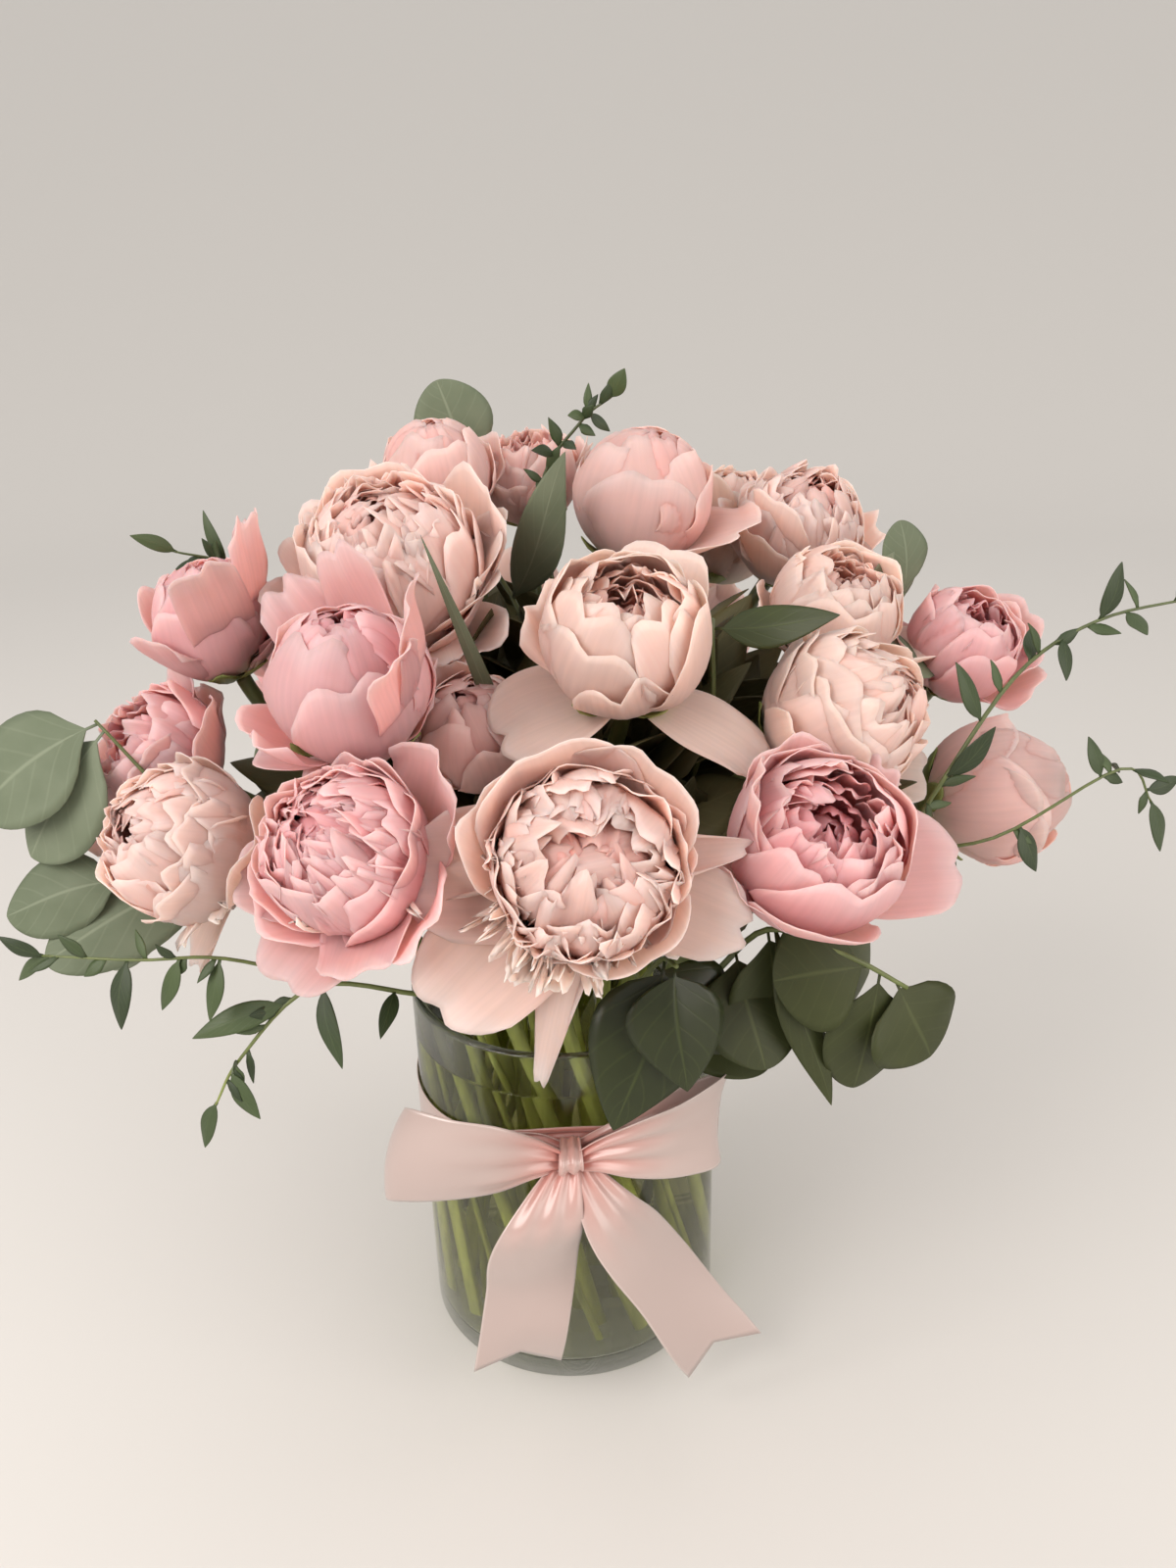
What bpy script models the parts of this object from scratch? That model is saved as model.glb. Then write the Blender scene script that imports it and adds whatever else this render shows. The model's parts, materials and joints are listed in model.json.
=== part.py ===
"""A glass cylinder vase of pink peonies and eucalyptus, tied with a satin ribbon bow.

Units are metres and +Z is up. The origin is the middle of the vase's foot, where it stands.
The bow is on the -Y side, which is the front. Lengths in the tables are millimetres.
"""

import math

import bmesh
import bpy
from mathutils import Matrix, Vector

MM = 0.001
GAP = 0.3 * MM

# The vase and its water.
VASE_RADIUS = 70 * MM
VASE_HEIGHT = 178 * MM
VASE_WALL = 4 * MM
VASE_FLOOR = 9 * MM
FOOT_ROUND = 5 * MM
WATER_LEVEL = 156 * MM
VASE_STEPS = 36

# The ribbon: a band round the vase, gathered to a knot in front, with two loops and two tails.
RIBBON_WIDTH = 38 * MM
RIBBON_THICK = 1.0 * MM
BAND_HEIGHT = 112 * MM
KNOT = Vector((0, -81, 133)) * MM

# The stems stand in three rings at the rim, and every ring turns by the same angle on the
# way down, so that the straight stems cross the vase as a spiral and never meet.
RING_RADII = (58 * MM, 40 * MM, 21 * MM)
SPIRAL = math.radians(52)
FOOT_SHARE = 0.88
STEM_RADIUS = 3.3 * MM
STEM_SIDES = 6
SPRIG_RADIUS = 1.6 * MM

PETAL_THICK = 1.4 * MM
LEAF_THICK = 1.0 * MM
BLOOM_STEPS = 10

# The turned outline of a bloom's globe as shares of its diameter: (radius, height).
GLOBE = ((0.0, 0.0), (0.09, 0.0), (0.33, 0.10), (0.46, 0.27),
         (0.5, 0.5), (0.44, 0.74), (0.28, 0.92), (0.0, 0.97))

# name: middle of the globe, its diameter, the way it faces (degrees round from the front
# towards +X, degrees above level), and its stem's ring. Then the guard petals that stand off
# the globe: (clock angle seen from in front, 0 right and 90 up; opening angles from the
# bloom's axis at the base and the tip; length; width).
BLOOMS = {
    "front": ((8, -142, 300), 58, (0, 28), 0, (
        (182, 52, 82, 54, 42), (222, 55, 92, 64, 36), (258, 60, 112, 72, 22),
        (4, 50, 66, 52, 20), (-24, 54, 78, 54, 26), (95, 48, 40, 52, 44), (45, 48, 38, 48, 32),
        (145, 52, 60, 54, 26))),
    "hot_pink": ((-68, -122, 297), 52, (-30, 42), 0, (
        (255, 60, 78, 48, 40), (205, 55, 62, 46, 30), (300, 55, 66, 46, 30))),
    "left_cream": ((-132, -84, 286), 52, (-62, 25), 0, ((270, 70, 100, 48, 32), (10, 55, 20, 40, 34))),
    "left_low": ((-158, -24, 298), 48, (-70, 40), 0, ((120, 50, 42, 46, 34), (235, 60, 60, 40, 30))),
    "left_tall": ((-134, -6, 347), 48, (-75, 72), 0, (
        (60, 30, 22, 52, 22), (10, 40, 30, 50, 20), (150, 35, 36, 44, 18))),
    "left_round": ((-70, -80, 340), 54, (-50, 55), 1, ((230, 62, 64, 44, 32), (160, 50, 34, 44, 28))),
    "ruffled": ((-60, -12, 366), 66, (-15, 62), 2, (
        (20, 50, 40, 62, 36), (300, 52, 70, 46, 28), (200, 58, 66, 54, 32), (120, 50, 36, 52, 34))),
    "top_left": ((-46, 42, 394), 44, (-60, 70), 2, ()),
    "top_middle": ((-8, 72, 389), 42, (180, 72), 2, ((180, 45, 30, 40, 24),)),
    "top_round": ((40, 30, 384), 56, (10, 62), 2, ((-50, 55, 46, 60, 42), (120, 50, 20, 42, 34))),
    "top_cream": ((84, 92, 360), 50, (140, 50), 1, ((90, 55, 50, 44, 34),)),
    "right_upper": ((110, 44, 366), 50, (75, 58), 1, ((150, 50, 40, 44, 34), (40, 45, 32, 44, 30))),
    "right_bowl": ((114, -14, 346), 52, (45, 62), 1, ((200, 55, 50, 44, 28),)),
    "middle": ((25, -76, 354), 56, (-5, 62), 1, (
        (208, 70, 112, 46, 36), (-32, 78, 118, 54, 20), (70, 50, 26, 44, 34))),
    "shaded": ((-30, -54, 312), 42, (-15, 25), 2, ((200, 42, 40, 30, 26), (110, 45, 36, 34, 30))),
    "right_middle": ((104, -67, 319), 56, (55, 38), 1, ((15, 55, 52, 44, 26), (-50, 58, 70, 50, 36))),
    "right_high": ((170, -4, 326), 45, (60, 60), 0, ((310, 55, 34, 40, 30),)),
    "right_bud": ((172, -46, 277), 54, (82, 15), 0, ()),
    "right_front": ((86, -118, 292), 56, (25, 48), 0, (
        (150, 38, 22, 58, 26), (95, 45, 26, 48, 36), (-18, 60, 82, 58, 36), (30, 50, 34, 46, 22))),
    "back_left": ((-114, 82, 312), 54, (-125, 35), 0, ((200, 58, 74, 50, 36), (20, 55, 60, 46, 34))),
    "back_middle": ((-22, 132, 316), 56, (190, 35), 0, ((230, 58, 80, 52, 36), (-30, 56, 60, 48, 34))),
    "back_right": ((76, 136, 298), 54, (150, 30), 0, ((300, 58, 74, 50, 34), (120, 52, 50, 46, 34))),
}

# Leafy branches. Each has its ring and its way round, where its stem runs once it is over
# the rim, the side twigs that leave it, and the leaves: (where along the branch it is
# joined, or minus that on its first twig; the tip; the width; the outline). The leaves on a
# second twig are far_leaves. Leaves turn their faces to the front unless the branch is a
# back one.
BRANCHES = {
    "eucalyptus_left": {
        "slot": (0, -78),
        "route": ((-92, -20, 238), (-130, -48, 256), (-168, -62, 262)),
        "twigs": (((0.66, (-145, -54, 290), (-172, -48, 322))),),
        "leaves": ((0.76, (-198, -74, 236), 38, "round"), (0.98, (-214, -62, 250), 32, "round"),
                   (0.86, (-190, -50, 222), 36, "round"), (-0.98, (-218, -52, 286), 54, "round")),
    },
    "eucalyptus_top": {
        "slot": (2, -110),
        "route": ((-14, 8, 250), (-10, 18, 330), (-34, 70, 366), (-34, 78, 396)),
        "twigs": (),
        "leaves": ((0.97, (-46, 78, 436), 34, "round"), (0.9, (-70, 96, 400), 34, "round"),
                   (0.62, (8, 0, 408), 18, "blade")),
    },
    "eucalyptus_right": {
        "slot": (1, 80),
        "route": ((56, 16, 250), (100, 24, 300), (134, 18, 326), (142, 8, 350)),
        "twigs": (),
        "leaves": ((0.99, (136, 4, 379), 24, "round"), (0.8, (140, -20, 312), 12, "round")),
    },
    "eucalyptus_low": {
        "slot": (0, 52),
        "route": ((58, -72, 215), (76, -92, 246), (104, -104, 240), (126, -104, 226)),
        "twigs": (),
        "leaves": ((0.5, (72, -112, 198), 40, "round"), (0.62, (96, -112, 186), 15, "blade"),
                   (0.95, (112, -108, 182), 24, "round"), (0.99, (134, -106, 186), 34, "round"),
                   (0.7, (122, -70, 210), 44, "round"), (0.3, (78, -62, 176), 40, "round")),
    },
    "salal_front": {
        "slot": (0, 20),
        "route": ((26, -68, 205), (36, -94, 236), (40, -112, 244)),
        "twigs": (),
        "leaves": ((0.8, (20, -114, 178), 46, "ovate"), (0.97, (44, -126, 204), 24, "ovate")),
    },
    "salal_upper": {
        "slot": (1, 30),
        "route": ((40, -30, 250), (58, -52, 310), (57, -68, 358)),
        "twigs": (),
        "leaves": ((0.98, (104, -62, 355), 16, "ovate"),),
    },
    "narrow_leaf_top": {
        "slot": (2, 70),
        "route": ((6, 10, 250), (4, 24, 330), (-2, 40, 388), (15, 36, 416), (29, 32, 427)),
        "twigs": (),
        "leaves": ((0.98, (35, 26, 441), 10, "blade"), (0.86, (8, 30, 420), 6, "blade"),
                   (0.88, (30, 38, 410), 6, "blade"), (0.74, (-8, 26, 408), 7, "blade")),
    },
    "narrow_leaf_high": {
        "slot": (1, -100),
        "route": ((-58, 14, 250), (-106, 34, 322), (-130, 30, 360), (-156, 20, 372)),
        "twigs": (),
        "leaves": ((0.98, (-174, 14, 382), 8, "blade"), (0.9, (-160, 10, 358), 8, "blade"),
                   (0.8, (-116, 16, 384), 10, "blade"), (0.84, (-146, 34, 392), 7, "blade")),
    },
    "narrow_leaf_right": {
        "slot": (0, 84),
        "route": ((92, -10, 226), (130, -60, 262), (136, -82, 292), (166, -72, 334),
                  (196, -66, 352), (234, -60, 358)),
        "twigs": (((0.42, (160, -84, 276), (206, -80, 300), (222, -76, 284))),),
        "leaves": ((0.60, (160, -88, 326), 11, "blade"), (0.66, (138, -78, 348), 10, "blade"),
                   (0.74, (176, -56, 352), 9, "blade"), (0.80, (182, -80, 330), 9, "blade"),
                   (0.86, (206, -62, 378), 12, "blade"), (0.90, (214, -74, 346), 12, "blade"),
                   (0.97, (238, -54, 376), 9, "blade"), (0.99, (244, -64, 346), 10, "blade"),
                   (-0.4, (178, -88, 258), 12, "blade"), (-0.6, (192, -76, 316), 10, "blade"),
                   (-0.98, (226, -84, 262), 12, "blade"), (-0.9, (238, -70, 292), 8, "blade")),
    },
    "narrow_leaf_left": {
        "slot": (0, -38),
        "route": ((-58, -72, 212), (-92, -96, 232), (-120, -104, 208), (-132, -106, 188)),
        "twigs": (((0.55, (-120, -104, 250), (-150, -106, 252), (-186, -100, 252))),),
        "leaves": ((0.58, (-82, -112, 196), 10, "blade"), (0.45, (-70, -108, 210), 9, "blade"),
                   (0.66, (-146, -106, 214), 13, "blade"), (0.85, (-112, -112, 180), 10, "blade"),
                   (0.98, (-140, -108, 166), 9, "blade"), (-0.35, (-128, -112, 222), 9, "blade"),
                   (-0.5, (-146, -108, 226), 9, "blade"), (-0.7, (-158, -116, 222), 12, "blade"),
                   (-0.97, (-202, -94, 236), 7, "blade"), (-0.99, (-204, -98, 262), 7, "blade")),
    },
    "eucalyptus_back": {
        "slot": (0, 172),
        "route": ((0, 84, 226), (14, 122, 256), (16, 150, 256), (20, 172, 246)),
        "twigs": (((0.45, (62, 140, 240), (98, 142, 252), (128, 128, 258))),
                  ((0.45, (-52, 132, 250), (-92, 128, 262), (-126, 108, 262)))),
        "leaves": ((0.8, (-12, 168, 214), 38, "round"), (0.97, (30, 186, 208), 40, "round"),
                   (-0.5, (80, 158, 214), 38, "round"), (-0.98, (156, 128, 232), 36, "round")),
        "far_leaves": ((-0.5, (-84, 150, 222), 38, "round"), (-0.98, (-154, 110, 236), 38, "round")),
    },
}

# An outline's half-width, as a share of its widest, at each share of the way to the tip.
LEAF_OUTLINES = {
    "round": ((0.0, 0.06), (0.14, 0.07), (0.3, 0.72), (0.55, 1.0), (0.82, 0.84), (1.0, 0.26)),
    "ovate": ((0.0, 0.06), (0.1, 0.08), (0.28, 0.8), (0.5, 1.0), (0.8, 0.62), (1.0, 0.05)),
    "blade": ((0.0, 0.12), (0.2, 0.62), (0.5, 1.0), (0.8, 0.66), (1.0, 0.08)),
}
LEAF_DROOP = 0.07


def clear_scene():
    for obj in list(bpy.data.objects):
        bpy.data.objects.remove(obj)


def finish(name, hex_colour, roughness, alpha=1.0):
    """A plain material from an sRGB hex colour."""
    found = bpy.data.materials.new(name)
    found.use_nodes = True
    shader = found.node_tree.nodes["Principled BSDF"]
    srgb = [int(hex_colour[i:i + 2], 16) / 255 for i in (0, 2, 4)]
    linear = [c / 12.92 if c <= 0.04045 else ((c + 0.055) / 1.055) ** 2.4 for c in srgb]
    shader.inputs["Base Color"].default_value = (*linear, 1)
    shader.inputs["Roughness"].default_value = roughness
    shader.inputs["Alpha"].default_value = alpha
    return found


def place(name, mesh_maker, material):
    """An object of this name from a bmesh, with its faces turned outwards."""
    bmesh.ops.recalc_face_normals(mesh_maker, faces=mesh_maker.faces)
    mesh = bpy.data.meshes.new(name)
    mesh_maker.to_mesh(mesh)
    mesh_maker.free()
    obj = bpy.data.objects.new(name, mesh)
    bpy.context.scene.collection.objects.link(obj)
    if material:
        mesh.materials.append(material)
        mesh.shade_smooth()
    return obj


def turned(outline, steps):
    """A solid turned about +Z from (radius, height) points that start and end on the axis."""
    made = bmesh.new()
    points = [made.verts.new((radius, 0, height)) for radius, height in outline]
    edges = [made.edges.new(pair) for pair in zip(points, points[1:])]
    bmesh.ops.spin(made, geom=points + edges, cent=(0, 0, 0), axis=(0, 0, 1),
                   angle=math.tau, steps=steps, use_merge=True)
    bmesh.ops.remove_doubles(made, verts=made.verts, dist=0.01 * MM)
    return made


def loft(made, rings):
    """Joins closed rings of points, in order, into one capped tube."""
    corners = [[made.verts.new(point) for point in ring] for ring in rings]
    count = len(corners[0])
    for lower, upper in zip(corners, corners[1:]):
        for i in range(count):
            j = (i + 1) % count
            made.faces.new((lower[i], lower[j], upper[j], upper[i]))
    made.faces.new(corners[0])
    made.faces.new(corners[-1])


def slab(made, rows, thickness):
    """A closed sheet of this thickness over rows of points."""
    normals = []
    for i, row in enumerate(rows):
        along = rows[min(i + 1, len(rows) - 1)][len(row) // 2] - rows[max(i - 1, 0)][len(row) // 2]
        normals.append([
            along.cross(row[min(j + 1, len(row) - 1)] - row[max(j - 1, 0)]).normalized()
            for j in range(len(row))])
    half = thickness / 2
    rings = []
    for row, row_normals in zip(rows, normals):
        front = [point + normal * half for point, normal in zip(row, row_normals)]
        back = [point - normal * half for point, normal in zip(row, row_normals)]
        rings.append(front + back[::-1])
    loft(made, rings)


def tube(made, points, radius, sides):
    """A capped tube with flat ends square to its line."""
    rings = []
    side = (points[1] - points[0]).orthogonal().normalized()
    for i, point in enumerate(points):
        along = (points[min(i + 1, len(points) - 1)] - points[max(i - 1, 0)]).normalized()
        side = (side - along * side.dot(along)).normalized()
        across = along.cross(side)
        turns = [math.tau * k / sides for k in range(sides)]
        rings.append([point + (side * math.cos(t) + across * math.sin(t)) * radius for t in turns])
    loft(made, rings)


def union(name, pieces, material):
    """One body from closed pieces that cross each other."""
    first = place(name, pieces[0], material)
    if len(pieces) == 1:
        return first
    others = bmesh.new()
    for piece in pieces[1:]:
        bmesh.ops.recalc_face_normals(piece, faces=piece.faces)
        step = bpy.data.meshes.new("step")
        piece.to_mesh(step)
        piece.free()
        others.from_mesh(step)
        bpy.data.meshes.remove(step)
    helper = place(name + "_pieces", others, None)
    helper.hide_render = True
    helper.display_type = "WIRE"
    join = first.modifiers.new("join", "BOOLEAN")
    join.operation = "UNION"
    join.solver = "EXACT"
    join.use_self = True
    join.object = helper
    return first


def facing(degrees_round, degrees_up):
    """The unit vector of a way round from the front towards +X, and a height above level."""
    turn, rise = math.radians(degrees_round), math.radians(degrees_up)
    return Vector((math.sin(turn) * math.cos(rise), -math.cos(turn) * math.cos(rise), math.sin(rise)))


def bloom_frame(centre, diameter, faces):
    """(base point, right, up, axis) of a bloom whose globe has this middle."""
    axis = facing(*faces)
    right = Vector((math.cos(math.radians(faces[0])), math.sin(math.radians(faces[0])), 0))
    return centre - axis * diameter / 2, right, axis.cross(right), axis


def bezier(a, b, c, d, count):
    """count + 1 points of a cubic curve, from a to d."""
    shares = [i / count for i in range(count + 1)]
    return [a * (1 - t) ** 3 + b * 3 * t * (1 - t) ** 2 + c * 3 * t * t * (1 - t) + d * t ** 3
            for t in shares]


def smooth_route(points, per_span):
    """A Catmull-Rom curve through the points."""
    ends = [points[0] * 2 - points[1], *points, points[-1] * 2 - points[-2]]
    curve = [points[0]]
    for before, start, stop, after in zip(ends, ends[1:], ends[2:], ends[3:]):
        leave, arrive = (stop - before) / 6, (after - start) / 6
        curve += bezier(start, start + leave, stop - arrive, stop, per_span)[1:]
    return curve


def point_on(route, share):
    """The point this share of the way along a route, counted by its points."""
    place_on = share * (len(route) - 1)
    low = min(int(place_on), len(route) - 2)
    return route[low].lerp(route[low + 1], place_on - low)


def assign_slots():
    """The angle at which each stem passes the rim: evenly spaced round its ring, in order."""
    rings = {}
    for name, (centre, _, _, ring, _) in BLOOMS.items():
        rings.setdefault(ring, []).append((math.atan2(centre[0], -centre[1]), name))
    for name, branch in BRANCHES.items():
        ring, degrees = branch["slot"]
        rings.setdefault(ring, []).append((math.radians(degrees), name))
    slots = {}
    for ring, members in rings.items():
        members.sort()
        pitch = math.tau / len(members)
        drift = sum(angle - i * pitch for i, (angle, _) in enumerate(members)) / len(members)
        for i, (_, name) in enumerate(members):
            slots[name] = (RING_RADII[ring], i * pitch + drift)
    return slots


def stem_in_vase(radius, angle):
    """(foot, rim) of the straight part of a stem that passes the rim at this place."""
    rim = Vector((radius * math.sin(angle), -radius * math.cos(angle), VASE_HEIGHT))
    low = angle + SPIRAL
    foot_radius = radius * FOOT_SHARE
    foot = Vector((foot_radius * math.sin(low), -foot_radius * math.cos(low), VASE_FLOOR + 2.2 * MM))
    return foot, rim


def build_vase(glass):
    inner = VASE_RADIUS - VASE_WALL
    rounded = [(VASE_RADIUS - FOOT_ROUND * (1 - math.sin(t)), FOOT_ROUND * (1 - math.cos(t)))
               for t in (0, math.pi / 6, math.pi / 3, math.pi / 2)]
    lip = [(VASE_RADIUS, VASE_HEIGHT - 1.2 * MM), (VASE_RADIUS - 1.2 * MM, VASE_HEIGHT),
           (inner + 1.2 * MM, VASE_HEIGHT), (inner, VASE_HEIGHT - 1.2 * MM)]
    floor = [(inner, VASE_FLOOR + 3 * MM), (inner - 3 * MM, VASE_FLOOR), (0, VASE_FLOOR)]
    place("vase", turned([(0, 0), *rounded, *lip, *floor], VASE_STEPS), glass)


def build_water(water, straight_stems):
    """The water, with a hole for each stem that stands in it."""
    edge = VASE_RADIUS - VASE_WALL - GAP
    low = VASE_FLOOR + GAP
    outline = [(0, low), (edge - 3.4 * MM, low), (edge, low + 3.4 * MM),
               (edge, WATER_LEVEL), (0, WATER_LEVEL)]
    body = place("water", turned(outline, VASE_STEPS), water)
    holes = bmesh.new()
    for foot, rim, radius in straight_stems:
        along = (rim - foot).normalized()
        tube(holes, [foot - along * GAP, rim], radius + GAP, STEM_SIDES)
    cutter = place("stem_holes", holes, None)
    cutter.hide_render = True
    cutter.display_type = "WIRE"
    cut = body.modifiers.new("stem_holes", "BOOLEAN")
    cut.operation = "DIFFERENCE"
    cut.solver = "EXACT"
    cut.object = cutter


def guard_petal(base, right, up, axis, petal):
    """A broad outer petal: rows across it, along a line that opens from the axis."""
    clock, open_base, open_tip, length, width = petal
    turn = math.radians(clock)
    outward = right * math.cos(turn) + up * math.sin(turn)
    across = axis.cross(outward)
    shares = (0.0, 0.14, 0.45, 0.78, 1.0)
    half_widths = (0.14, 0.42, 0.96, 0.9, 0.34)
    position = base + outward * 2 * MM + axis * 3 * MM
    rows, last = [], 0.0
    for share, half in zip(shares, half_widths):
        opening = math.radians(open_base + (open_tip - open_base) * share)
        along = outward * math.sin(opening) + axis * math.cos(opening)
        position = position + along * (share - last) * length * MM
        last = share
        lift = axis * math.sin(opening) - outward * math.cos(opening)
        reach = half * width * MM / 2
        edge = position + lift * reach * 0.35
        rows.append([edge - across * reach, position, edge + across * reach])
    made = bmesh.new()
    slab(made, rows, PETAL_THICK)
    return made


def build_blooms(petal_finishes, stem_finish, slots):
    """Every peony: a globe of petals with its guard petals, on a stem of its own."""
    straight = []
    for index, (name, (centre, diameter, faces, _, guards)) in enumerate(BLOOMS.items()):
        size = diameter * MM
        base, right, up, axis = bloom_frame(Vector(centre) * MM, size, faces)
        globe = turned([(radius * size, height * size) for radius, height in GLOBE], BLOOM_STEPS)
        turn = Matrix((right, up, axis)).transposed().to_4x4()
        bmesh.ops.transform(globe, matrix=Matrix.Translation(base) @ turn, verts=globe.verts)
        petals = [guard_petal(base, right, up, axis, petal) for petal in guards]
        union(f"bloom_{name}", [globe, *petals], petal_finishes[index % len(petal_finishes)])

        foot, rim = stem_in_vase(*slots[name])
        top = base - axis * GAP
        reach = (top - rim).length
        upward = (rim - foot).normalized()
        neck = top - axis * 5 * MM
        curve = bezier(rim, rim + upward * reach * 0.35, neck - axis * reach * 0.3, neck, 6)
        made = bmesh.new()
        tube(made, [foot, *curve, top], STEM_RADIUS, STEM_SIDES)
        place(f"stem_{name}", made, stem_finish)
        straight.append((foot, rim, STEM_RADIUS))
    return straight


def leaf(joint, tip, width, outline, bend):
    """A leaf from its joint on the branch to its tip, drooping a little, face outwards."""
    run = tip - joint
    outward = Vector((0.3 * tip.x, 0.1 if tip.y > 90 * MM else -0.1, 0.05)).normalized()
    across = run.cross(outward).normalized()
    face = across.cross(run).normalized()
    rows = []
    for share, half in LEAF_OUTLINES[outline]:
        middle = joint + run * share + face * run.length * bend * 4 * share * (1 - share)
        reach = max(half * width * MM / 2, 0.7 * MM)
        rows.append([middle - across * reach, middle, middle + across * reach])
    made = bmesh.new()
    slab(made, rows, LEAF_THICK)
    return made


def build_branches(leaf_finish, slots):
    """Every leafy branch, its twigs and leaves joined into one body."""
    straight = []
    for name, branch in BRANCHES.items():
        foot, rim = stem_in_vase(*slots[name])
        upward = (rim - foot).normalized()
        points = [rim, *(Vector(point) * MM for point in branch["route"])]
        points.insert(1, rim + upward * 14 * MM)
        route = smooth_route(points, 3)
        made = bmesh.new()
        tube(made, [foot, *route], SPRIG_RADIUS, 5)
        pieces = [made]
        twig_routes = []
        for twig in branch["twigs"]:
            start = point_on(route, twig[0])
            twig_route = smooth_route([start, *(Vector(point) * MM for point in twig[1:])], 3)
            made = bmesh.new()
            tube(made, twig_route, SPRIG_RADIUS * 0.7, 5)
            pieces.append(made)
            twig_routes.append(twig_route)
        groups = ((branch["leaves"], 0), (branch.get("far_leaves", ()), 1))
        for leaves, twig_index in groups:
            for share, tip, width, outline in leaves:
                line = twig_routes[twig_index] if share < 0 else route
                pieces.append(leaf(point_on(line, abs(share)), Vector(tip) * MM, width, outline, LEAF_DROOP))
        union(name, pieces, leaf_finish)
        straight.append((foot, rim, SPRIG_RADIUS))
    return straight


def front_share(angle):
    """1 at the knot and 0 away from it, for the part of the band that is gathered."""
    return math.exp(-((angle / math.radians(34)) ** 2))


def bow_loop(sections, side):
    """One closed loop of the bow from its sections out from the knot: (how far out, how far
    back, how far up, height, depth)."""
    corner = 0.5
    eight = ((-1, -corner), (-1, corner), (-corner, 1), (corner, 1),
             (1, corner), (1, -corner), (corner, -1), (-corner, -1))
    rings = []
    for out, back, rise, height, depth in sections:
        centre = KNOT + Vector((side * out, back - 2, rise)) * MM
        rings.append([centre + Vector((0, y * depth, z * height)) * MM / 2 for y, z in eight])
    made = bmesh.new()
    loft(made, rings)
    return made


def bow_tail(line):
    """One tail of the bow from its middle line: (right, back, up from the knot, width)."""
    points = [KNOT + Vector(row[:3]) * MM for row in line]
    rows = []
    for i, (point, row) in enumerate(zip(points, line)):
        along = points[min(i + 1, len(points) - 1)] - points[max(i - 1, 0)]
        across = along.cross(Vector((0, 1, 0))).normalized() * row[3] * MM / 2
        rows.append([point - across, point, point + across])
    made = bmesh.new()
    slab(made, rows, RIBBON_THICK)
    return made


def build_band(satin):
    """The ribbon round the glass, level at the back and gathered up to the knot in front."""
    steps = 40
    inner = VASE_RADIUS + GAP
    outer = inner + RIBBON_THICK
    made = bmesh.new()
    rings = []
    for i in range(steps):
        angle = math.tau * i / steps - math.pi
        gathered = front_share(angle)
        middle = BAND_HEIGHT + (KNOT.z - BAND_HEIGHT) * gathered
        half = RIBBON_WIDTH / 2 * (1 - 0.66 * gathered)
        outwards = Vector((math.sin(angle), -math.cos(angle), 0))
        section = ((inner, -half), (outer, -half), (outer, half), (inner, half))
        rings.append([made.verts.new(outwards * radius + Vector((0, 0, middle + rise)))
                      for radius, rise in section])
    for here, there in zip(rings, rings[1:] + rings[:1]):
        for j in range(4):
            k = (j + 1) % 4
            made.faces.new((here[j], here[k], there[k], there[j]))
    place("ribbon_band", made, satin)


def build_bow(satin):
    """The knot, the two loops and the two tails, as one piece of ribbon."""
    outline = ((0, -9), (4.5, -8), (7, -3), (7, 3), (4.5, 8), (0, 9))
    knot = turned([(radius * MM, height * MM) for radius, height in outline], 10)
    bmesh.ops.transform(knot, matrix=Matrix.Translation(KNOT), verts=knot.verts)
    left_loop = ((4, 0, 1, 9, 8), (22, -2, 6, 26, 13), (44, -2, 12, 38, 17),
                 (64, 3, 7, 40, 16), (74, 6, 4, 38, 6))
    right_loop = ((4, 0, 1, 9, 8), (22, -2, 6, 22, 12), (40, -1, 10, 34, 15),
                  (56, 4, 12, 40, 14), (65, 7, 12, 42, 6))
    left_tail = ((-2, -3, -5, 10), (-8, -6, -24, 30), (-15, -5, -50, 37),
                 (-21, -3, -82, 38), (-25, -1, -106, 38))
    right_tail = ((3, -1, -5, 8), (16, -4, -26, 28), (34, -3, -52, 36),
                  (52, 0, -82, 38), (66, 4, -110, 38))
    loops = [bow_loop(left_loop, -1), bow_loop(right_loop, 1)]
    tails = [bow_tail(left_tail), bow_tail(right_tail)]
    union("ribbon_bow", [knot, *loops, *tails], satin)


def build():
    clear_scene()
    glass = finish("clear glass", "C9D6CC", 0.05, 0.35)
    water = finish("vase water", "A9B594", 0.05, 0.5)
    satin = finish("blush satin", "DDB9B2", 0.35)
    stem_green = finish("peony stem", "7C8A4C", 0.5)
    leaf_green = finish("eucalyptus leaf", "4E5B40", 0.55)
    petals = [finish(f"petal {tint}", tint, 0.6) for tint in ("E8BDB2", "E5A1A4", "EDC6B6")]
    slots = assign_slots()
    build_vase(glass)
    straight = build_blooms(petals, stem_green, slots)
    straight += build_branches(leaf_green, slots)
    build_water(water, straight)
    build_band(satin)
    build_bow(satin)


build()
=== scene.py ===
# %% [markdown]
# # Peonies in a vase
#
# A bunch of cut peonies stands in a clear glass cylinder, with eucalyptus and leafy sprigs
# round it, and a satin ribbon is tied round the glass. This lesson makes the flowers, the
# leaves, the glass, the water and the ribbon around a frame of plain solids, which says where
# every piece is. Start by loading that frame and measuring it.

# %% Load the frame
import json
import math
import random

import bmesh
import bpy
import numpy as np
from mathutils import Matrix, Vector


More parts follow.
